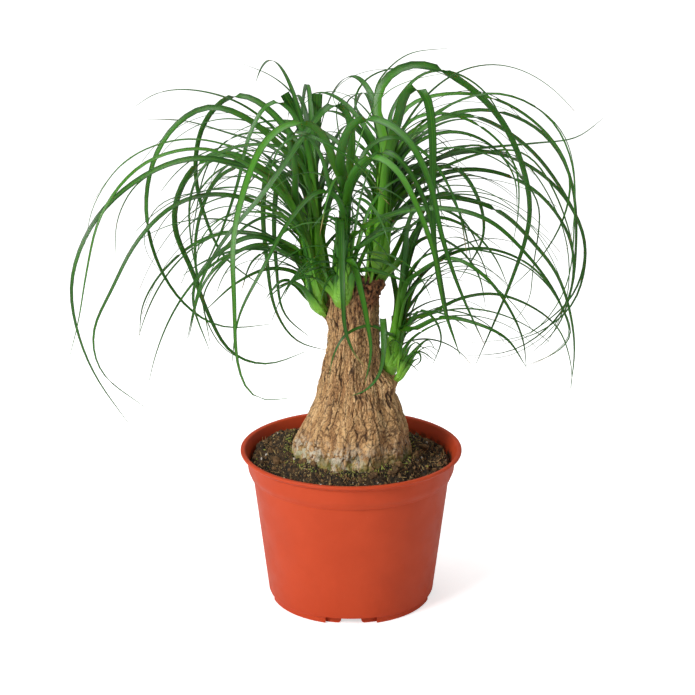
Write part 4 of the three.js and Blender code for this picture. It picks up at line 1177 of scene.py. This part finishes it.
def curve_at(points, shares):
    """Places on a smooth curve through the points, at shares of the way from point to point."""
    points = np.asarray(points, dtype=float)
    padded = np.vstack([2 * points[0] - points[1], points, 2 * points[-1] - points[-2]])
    place = np.clip(np.asarray(shares, dtype=float), 0, 1) * (len(points) - 1)
    i = np.minimum(place.astype(int), len(points) - 2)
    t = (place - i)[:, None]
    a, b, c, d = padded[i], padded[i + 1], padded[i + 2], padded[i + 3]
    ab, bc, cd = (
        np.sum((q - p) ** 2, axis=1, keepdims=True) ** 0.25 for p, q in ((a, b), (b, c), (c, d))
    )
    bc = np.where(bc < 1e-4, 1, bc)
    ab = np.where(ab < 1e-4, bc, ab)
    cd = np.where(cd < 1e-4, bc, cd)
    leaving = ((b - a) / ab - (c - a) / (ab + bc) + (c - b) / bc) * bc
    arriving = ((c - b) / bc - (d - b) / (bc + cd) + (d - c) / cd) * bc
    bent = (3 * (c - b) - 2 * leaving - arriving) * t**2
    return b + leaving * t + bent + (2 * (b - c) + leaving + arriving) * t**3


def way_along(places):
    """How far along a row of places each one lies."""
    return np.concatenate([[0], np.cumsum(np.linalg.norm(np.diff(places, axis=0), axis=1))])


def read_off(wanted, known, table):
    """A table's rows at the wanted places between the known ones."""
    return np.stack([np.interp(wanted, known, column) for column in table.T], axis=1)


def even_curve(points, steps):
    """Evenly spaced places on the smooth curve through the points."""
    dense = curve_at(points, np.linspace(0, 1, CURVE_FINENESS * len(points)))
    lengths = way_along(dense)
    return read_off(np.linspace(0, lengths[-1], steps + 1), lengths, dense)


def unit(vector):
    """A vector or a table of vectors, each made one long."""
    return vector / np.maximum(np.linalg.norm(vector, axis=-1, keepdims=True), 1e-9)


def square_to(vector, along):
    """The part of a vector that is square to a direction, made one long."""
    return unit(vector - along * np.sum(vector * along, axis=-1, keepdims=True))


def place_on_core(core, share):
    """The point and the direction at a share of the way up a shoot's core."""
    places = [row[:3] for row in core]
    before, here, after = curve_at(places, [share - 1e-4, share, share + 1e-4])
    return here, unit(after - before)


def core_radius(core, share):
    """The radius at a share of the way up a shoot's core."""
    return float(np.interp(share * (len(core) - 1), range(len(core)), [row[3] for row in core]))


def carried(seen, depth):
    """A place seen at (across, up) on the upright plane, carried to a depth along the sight."""
    share = (depth - EYE[1]) / -EYE[1]
    return (np.array([seen[0], 0, seen[1]]) - EYE) * share + EYE


def top_of(row):
    """The height that a leaf is seen to reach."""
    return max(up for _, up in row[2:])


def seen_route(shoot, row, shift=0, blunt=False):
    """The route of a leaf read from the photograph, from its root on the core to its tip."""
    width, depth, *seen = row
    tops = [top_of(leaf) for leaf in shoot["leaves"]]
    rise = (top_of(row) - min(tops)) / (max(tops) - min(tops))
    share = ROOTED[0] + ROOTED[1] * min(1, max(0, rise))
    root, along = place_on_core(shoot["core"], share)
    lengths = way_along(np.array([(root[0], root[2]), *seen], dtype=float))[1:]
    gone = np.minimum(1, lengths / lengths[-1] / DEPTH_REACHED)
    depths = root[1] + (depth + shift) * np.sin(gone * math.pi / 2)
    places = [carried(place, away) for place, away in zip(seen, depths)]
    first = places[0] - root
    length = np.linalg.norm(first)
    sheath_end = root + along * min(SHEATH_ALONG[0], length * SHEATH_ALONG[1])
    sheath_end += unit(first) * min(SHEATH_OUTWARDS[0], length * SHEATH_OUTWARDS[1])
    route = {"points": [root, sheath_end, *places], "width": width, "share": share}
    return route | {"facing": FACING, "twist": 0, "blunt": blunt}


def between(bounds, share):
    """A number at a share of the way from one bound to the other."""
    return bounds[0] + (bounds[1] - bounds[0]) * share


def grown_route(shoot, seed, index, count, turn=0, reach=1, rooted=ROOTED):
    """The route of a leaf that grows by rule: up out of its sheath, over in an arch and down."""
    draw = draws_from(seed)
    more = shoot["more"]
    sector = (more["to"] - more["from"]) / count
    towards = math.radians(more["from"] + sector * (index + draw()) + turn)
    share = rooted[0] + rooted[1] * draw()
    root, along = place_on_core(shoot["core"], share)
    length = between(more["length"], draw()) * reach
    width = between(more["width"], draw())
    lower = START_LEAN[1] * (1 - share)
    lean_at_start = math.radians(START_LEAN[0] + lower + START_LEAN[2] * draw())
    lean_at_end = math.radians(END_LEAN[0] + END_LEAN[1] * draw())
    lowest = min(LOWEST_TIP[0] + LOWEST_TIP[1] * draw(), root[2])
    sway = SWAY * (draw() - 0.5)
    twist = TWIST * (draw() - 0.5)
    points = [root, root + along * GROWN_SHEATH]
    for step in range(1, GROWN_STEPS + 1):
        done = step / GROWN_STEPS
        lean = between((lean_at_start, lean_at_end), done**GROWN_BEND)
        heading = towards + sway * done
        outwards = math.sin(lean) * np.array([math.cos(heading), math.sin(heading), 0])
        following = points[-1] + (outwards + (0, 0, math.cos(lean))) * length / GROWN_STEPS
        if following[2] < lowest and shoot["head"] != "head_small":
            break
        points.append(following)
    points = np.array(points)
    drawn_in = min(1, REACH / np.max(np.hypot(points[:, 0], points[:, 1])))
    points[:, :2] = root[:2] + (points[:, :2] - root[:2]) * drawn_in
    route = {"points": list(points), "width": width, "share": share}
    return route | {"facing": 0, "twist": twist, "blunt": False}


def nearest_to_solid(routes, solid):
    """Of several routes for a leaf, the one that its leaf on the solid head follows."""

    def stray(route):
        places = even_curve(route["points"], STRAY_STEPS)[STRAY_FROM:]
        return sum(solid.find_nearest(Vector(place) * MM)[3] for place in places)

    return min(routes, key=stray)


def solid_surface(node):
    """The surface of a solid head, to measure distances from."""
    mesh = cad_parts[node].data
    points = [vertex.co.copy() for vertex in mesh.vertices]
    return bvhtree.BVHTree.FromPolygons(points, [tuple(face.vertices) for face in mesh.polygons])


def with_foot(shoot, route):
    """A route's start: up the stem's surface, which the foot clasps, and the way it leaves it."""
    root = route["points"][0]
    _, along = place_on_core(shoot["core"], route["share"])
    outwards = route["points"][2] - root
    outwards = outwards - along * np.dot(outwards, along)
    if np.linalg.norm(outwards) < 1:
        outwards = TOWARDS_EYE
    outwards = unit(outwards)
    start = shoot["buried"] + FOOT_SPREAD * max(route["share"] - ROOTED[0], 0)
    foot = []
    for share in np.linspace(start, start + FOOT_SHARE, FOOT_PLACES):
        middle, along = place_on_core(shoot["core"], share)
        outer = LAYER_RISE * (share - start) / FOOT_SHARE
        wrapped = core_radius(shoot["core"], share) * shoot["slimness"] * FOOT_SUNK
        foot.append(middle + square_to(outwards, along) * (wrapped + outer))
    freed = [place for place in route["points"] if np.linalg.norm(place - root) > FREE_FROM]
    freed = [place for place in freed if np.linalg.norm(place - foot[-1]) > FREE_FROM / 2]
    return foot, freed, outwards


def eased(places, reach):
    """The same way with its sharp turns eased over this many places on either side."""
    before = 2 * places[0] - places[reach:0:-1]
    beyond = 2 * places[-1] - places[-2 : -reach - 2 : -1]
    padded = np.vstack([before, places, beyond])
    weights = np.hanning(2 * reach + 3)[1:-1]
    weights /= np.sum(weights)
    return np.stack([np.convolve(row, weights, "valid") for row in padded.T], axis=1)


def leaf_stations(shoot, route, draw):
    """The places along a leaf, with the way across it, the way up from it, its width and curl."""
    foot, freed, outwards = with_foot(shoot, route)
    places = eased(even_curve([*foot, *freed], STATIONS * 3), EASED_OVER)
    lengths = way_along(places)
    foot_length = way_along(foot)[-1]
    knots = [0, min(FOOT_FADE, foot_length), foot_length, lengths[-1]]
    counts = [0, FOOT_STATIONS, FOOT_STATIONS + LEAVING_STATIONS, STATIONS]
    wanted = np.interp(np.arange(STATIONS + 1), counts, knots)
    along = unit(read_off(wanted, lengths, np.gradient(places, axis=0)))
    places = read_off(wanted, lengths, places)
    share = np.clip((wanted - foot_length) / (lengths[-1] - foot_length), 0, 1)
    narrowed = np.clip((wanted - FOOT_BELLY) / (FOOT_FADE - FOOT_BELLY), 0, 1)
    clasp = (1 - narrowed) ** FOOT_FADE_POWER
    middle = route["points"][int(len(route["points"]) * MAIN_WAY_AT)]
    out = (middle - route["points"][0]) * (1, 1, 0)
    out = unit(out) if np.linalg.norm(out) > 1 else TOWARDS_EYE
    blend = np.clip(wanted / (foot_length + TURNED_BY), 0, 1)[:, None] ** 2
    out = unit(outwards * (1, 1, 0) * (1 - blend) + out * blend)
    level = np.stack([-out[:, 1], out[:, 0], np.zeros(len(out))], axis=1)
    across = square_to(level, along)
    shown = unit(np.cross(along, places - EYE))
    shown *= np.where(np.sum(shown * across, axis=1, keepdims=True) < 0, -1, 1)
    facing = route["facing"] * blend
    across = unit(across * (1 - facing) + shown * facing)
    turn = (route["twist"] * share)[:, None]
    across = across * np.cos(turn) + np.cross(along, across) * np.sin(turn)
    narrowing = np.ones(len(share)) if route["blunt"] else (1 - share) ** NARROWING
    free = route["width"] / 2 * np.maximum(narrowing, TIP_WIDTH)
    clasped = max(core_radius(shoot["core"], FOOT_AS_STEM), route["width"] / 2)
    half_width = (free * (1 - clasp) + clasped * clasp) * shoot["slimness"]
    half_width *= between((FOOT_POINT, 1), np.sqrt(np.clip(wanted / FOOT_BELLY, 0, 1)))
    return {
        "spine": places * MM,
        "across": across,
        "above": np.cross(along, across),
        "half_width": half_width * MM,
        "roll": between((between((BLADE_ROLL, TIP_ROLL), share), FOOT_ROLL), clasp),
        "half_thickness": between((BLADE_THICKNESS, FOOT_THICKNESS), clasp) / 2 * MM,
        "clasp": clasp,
        "share": share,
        "tint": np.full(len(share), draw()),
        "dry": np.full(len(share), draw() * (not route["blunt"])),
        "order": np.arange(len(share), dtype=float),
    }


def stem_stations(shoot, draw):
    """The places along a shoot's innermost leaf, which is rolled up to a round stem."""
    climb = np.linspace(shoot["buried"], STEM_TOP, STATIONS + 1)
    found = [place_on_core(shoot["core"], at) for at in climb]
    along = unit(np.array([way for _, way in found]))
    radius = np.array([core_radius(shoot["core"], at) for at in climb])
    radius *= STEM_SHARE * shoot["slimness"]
    left = (STEM_TOP + STEM_END - climb) / STEM_NARROWS
    radius *= np.sqrt(np.clip(left, STEM_END, 1))
    across = unit(np.cross(along, -TOWARDS_EYE))
    above = np.cross(along, across)
    places = np.array([middle for middle, _ in found]) - above * radius[:, None]
    return {
        "spine": places * MM,
        "across": across,
        "above": above,
        "half_width": radius * STEM_ROLL * MM,
        "roll": np.full(len(climb), STEM_ROLL),
        "half_thickness": np.full(len(climb), BLADE_THICKNESS / 2 * MM),
        "clasp": 1 - climb,
        "share": climb * STEM_AGE,
        "tint": np.full(len(climb), draw()),
        "dry": np.zeros(len(climb)),
        "order": np.arange(len(climb), dtype=float),
    }


def leaf_points(name, leaves):
    """Loose points that carry every leaf's stations, for the leaf tree to grow blades on."""
    vectors = ("spine", "across", "above")
    joined = {key: np.concatenate([row[key] for row in leaves]) for key in leaves[0]}
    mesh = bpy.data.meshes.new(name)
    mesh.from_pydata(joined["spine"].tolist(), [], [])
    for key, values in joined.items():
        kind, field = ("FLOAT_VECTOR", "vector") if key in vectors else ("FLOAT", "value")
        mesh.attributes.new(key, kind, "POINT").data.foreach_set(field, values.ravel().tolist())
    numbers = np.concatenate([np.full(len(row["share"]), i) for i, row in enumerate(leaves)])
    mesh.attributes.new("leaf", "INT", "POINT").data.foreach_set("value", numbers.tolist())
    return in_scene(name, mesh)


def leaf_tree():
    """Grows a thin blade along each leaf's stations, rolled to its curl and wide as they say."""
    given = new_tree("Grass-like leaves", ["Profile Sides"])
    tree = given.socket.id_data

    def kept(name, kind="FLOAT"):
        """A value kept on the geometry."""
        return put("GeometryNodeInputNamedAttribute", {"Name": name}, tree=tree, data_type=kind)

    points = put("GeometryNodeMeshToPoints", {"Mesh": given})
    ordered = {"Points": points, "Curve Group ID": kept("leaf", "INT"), "Weight": kept("order")}
    curves = put("GeometryNodePointsToCurves", ordered)
    circle = {"Resolution": given["Profile Sides"], "Radius": 1 * MM}
    circle = put("GeometryNodeCurvePrimitiveCircle", circle, mode="RADIUS")
    parts = parts_of(place_in(given) * (1 / MM))
    profile = stored(stored(circle, "side", parts["X"]), "face", parts["Y"])
    blades = {"Curve": curves, "Profile Curve": profile, "Fill Caps": True}
    blades = put("GeometryNodeCurveToMesh", blades)
    roll = kept("roll")
    bend = kept("side") * roll
    radius = kept("half_width") / roll
    sideways = reckoned("SINE", bend) * radius
    lift = (1 - reckoned("COSINE", bend)) * radius + kept("face") * kept("half_thickness")
    across, above = kept("across", "FLOAT_VECTOR"), kept("above", "FLOAT_VECTOR")
    target = kept("spine", "FLOAT_VECTOR") + (across * sideways + above * lift)
    shaped = put("GeometryNodeSetPosition", {"Geometry": blades, "Position": target})
    return ended(put("GeometryNodeSetShadeSmooth", {0: shaped}), given)


def leaf_skin():
    """Tough glossy leaf: pale at the clasping foot, deep green along the blade with painted shade
    along its edges, dry at tips.
    """
    material, place = new_material("leaf_skin")
    kept_names = ("side", "share", "clasp", "tint", "face", "dry")
    side, share, clasp, tint, face, dry = (kept_value(material, name) for name in kept_names)
    veins = put("ShaderNodeCombineXYZ", {"X": side * 10, "Y": share * 2.5, "Z": tint * 60})
    vein = noise(veins, 1, 3)
    off_middle = reckoned("ABSOLUTE", side)
    own = patched(place, 30, 0.35, 0.7, LEAF_DEEP_AND_SHADE, LEAF_GREEN)
    foot = ranged(clasp, 0.1, 1, 0, 0.75)
    for shown, tone in (
        (ranged(tint, 0.25, 1), LEAF_GREEN),
        (ranged(tint, 0.7, 1, 0, 0.35), LEAF_BRIGHT),
        (ranged(vein, 0.45, 0.7, 0, 0.5), LEAF_BRIGHT),
        (ranged(share, 0.35, 0.9, 0, 0.45), LEAF_DEEP_AND_SHADE),
        # Painted shade: the blade darkens towards its rolled edges
        (ranged(off_middle, 0.5, 1, 0, 0.7), LEAF_DEEP_AND_SHADE),
        (ranged(off_middle, 0.2, 0, 0, 0.2), LEAF_BRIGHT),
        (ranged(face, 0.1, -0.3) * 0.5, LEAF_UNDERSIDE),
        (ranged(share, 0.34, 0.02, 0, 0.85), LEAF_YOUNG),
        (foot, LEAF_PALE),
        (ranged(vein, 0.5, 0.3) * foot * 0.7, LEAF_GREEN),
        (ranged(share, 0.88, 0.98) * ranged(dry, 0.86, 0.94), LEAF_STRAW),
        (ranged(share, 0.96, 0.995) * ranged(dry, 0.7, 0.85), LEAF_BROWN),
    ):
        own = mixed(shown, own, tone)
    roughness = ranged(vein, 0.3, 0.7, 0.28, 0.42)
    shader = dressed(material, own, roughness, vein, 0.6, 0.25 * MM)
    shader.inputs["Specular IOR Level"].default_value = 0.36
    shader.inputs["Subsurface Weight"].default_value = 0.08
    shader.inputs["Subsurface Scale"].default_value = 2 * MM
    return material


def shoot_routes(number, shoot, surface, draw):
    """The routes of all the leaves of a shoot: read ones, grown ones, thin ones and fine ones."""
    routes = []
    for index, row in enumerate(shoot["leaves"]):
        blunt = index in shoot.get("blunt", ())
        choices = [seen_route(shoot, row, shift, blunt) for shift in READ_SHIFTS]
        routes.append(nearest_to_solid(choices, surface))
    count = shoot["more"]["count"]
    for index in range(count):
        seed = SHOOT_SEEDS * (number + 1) + index
        choices = [grown_route(shoot, seed, index, count, turn) for turn in GROWN_TURNS]
        routes.append(nearest_to_solid(choices, surface))
    routes += [seen_route(shoot, row) for row in shoot["thin"]]
    for index in range(shoot["fine"]):
        seed = SHOOT_SEEDS * (number + 1) + FINE_LEAF_SEED + index
        reach = between(FINE_LEAF_REACH, draw())
        route = grown_route(shoot, seed, index, shoot["fine"], 0, reach, FINE_LEAF_ROOTED)
        route["width"] = between(FINE_LEAF_WIDTHS, draw())
        routes.append(route)
    return [route for route in routes if len(route["points"]) >= LEAST_PLACES]


leaf_material = leaf_skin()
leaf_growth = leaf_tree()
for head in dict.fromkeys(shoot["head"] for shoot in SHOOTS):
    surface = solid_surface(head)
    draw = draws_from(len(head) * HEAD_SEED)
    leaves = []
    for number, shoot in enumerate(SHOOTS):
        if shoot["head"] == head:
            routes = shoot_routes(number, shoot, surface, draw)
            leaves.append(stem_stations(shoot, draw))
            leaves += [leaf_stations(shoot, route, draw) for route in routes]
    blades = leaf_points(f"{head}_leaves", leaves)
    grown(blades, leaf_growth, profile_sides=12, material=leaf_material)
    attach(blades, "root")
    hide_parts(head)


# The setting: a plain pale floor, soft studio light, and the camera of the photograph, which looks
# slightly down on the pot.
FLOOR_REACH = 40
FLOOR_PALE = (0.86, 0.86, 0.86, 1)
FLOOR_ROUGHNESS = 0.9
FLOOR_GLOW = 0.62  # lifts the floor that the camera sees towards white, and lights nothing
FLOOR_GLOW_FAR = 1  # far from the lamps
FLOOR_GLOW_FADES = (0.7, 3.5)  # over this way from the pot
WHITE = (1, 1, 1, 1)
CAMERA_LOOKS_DOWN = 17.26
CAMERA_LENS = 92.25
CAMERA_SENSOR = 36
CAMERA_SEES_TO = 100
WORLD_LIGHT = 0.3
WORLD_SEEN = 1
LIT_PLACE = Vector((0, 0, 0.2))
# The lamps: where they are, how wide, how strong
LAMPS = {
    "key": ((-1.35, -1.35, 1.25), 0.7, 36),
    "fill": ((1.8, -1.0, 0.7), 1.2, 1.5),
    "top": ((-0.2, 0.3, 1.9), 1.2, 15),
}


def studio_floor():
    """A wide pale floor under the object."""
    reach = FLOOR_REACH
    corners = [(-reach, -reach, 0), (reach, -reach, 0), (reach, reach, 0), (-reach, reach, 0)]
    floor = mesh_object("floor", corners, [(0, 1, 2, 3)])
    material, place = new_material("pale_floor")
    tree = material.node_tree
    shader = tree.nodes["Principled BSDF"]
    shader.inputs["Roughness"].default_value = FLOOR_ROUGHNESS
    shader.inputs["Base Color"].default_value = FLOOR_PALE
    shader.inputs["Emission Color"].default_value = WHITE
    seen = put("ShaderNodeLightPath", tree=tree)
    glow = seen * ranged(length_of(place), *FLOOR_GLOW_FADES, FLOOR_GLOW, FLOOR_GLOW_FAR)
    tree.links.new(glow.socket, shader.inputs["Emission Strength"])
    floor.data.materials.append(material)
    return floor


studio_floor()
for name, (place, width, power) in LAMPS.items():
    lamp = bpy.data.lights.new(name, "AREA")
    lamp.shape = "RECTANGLE"
    lamp.size = width
    lamp.size_y = width
    lamp.energy = power
    light = in_scene(name, lamp)
    light.location = place
    aim = LIT_PLACE - Vector(place)
    light.rotation_euler = aim.to_track_quat("-Z", "Y").to_euler()
world = bpy.data.worlds.new("studio")
world.use_nodes = True
sky = world.node_tree.nodes["Background"].inputs
seen = put("ShaderNodeLightPath", tree=world.node_tree)
strength = ranged(seen, 0, 1, WORLD_LIGHT, WORLD_SEEN)
sky["Color"].default_value = WHITE
world.node_tree.links.new(strength.socket, sky["Strength"])
bpy.context.scene.world = world
bpy.context.scene.view_settings.view_transform = "Standard"

camera = bpy.data.cameras.new("camera")
camera.sensor_width = CAMERA_SENSOR
camera.lens = CAMERA_LENS
camera.clip_end = CAMERA_SEES_TO
viewpoint = in_scene("camera", camera)
viewpoint.location = Vector(EYE) * MM
viewpoint.rotation_euler = (math.radians(90 - CAMERA_LOOKS_DOWN), 0, 0)
bpy.context.scene.camera = viewpoint
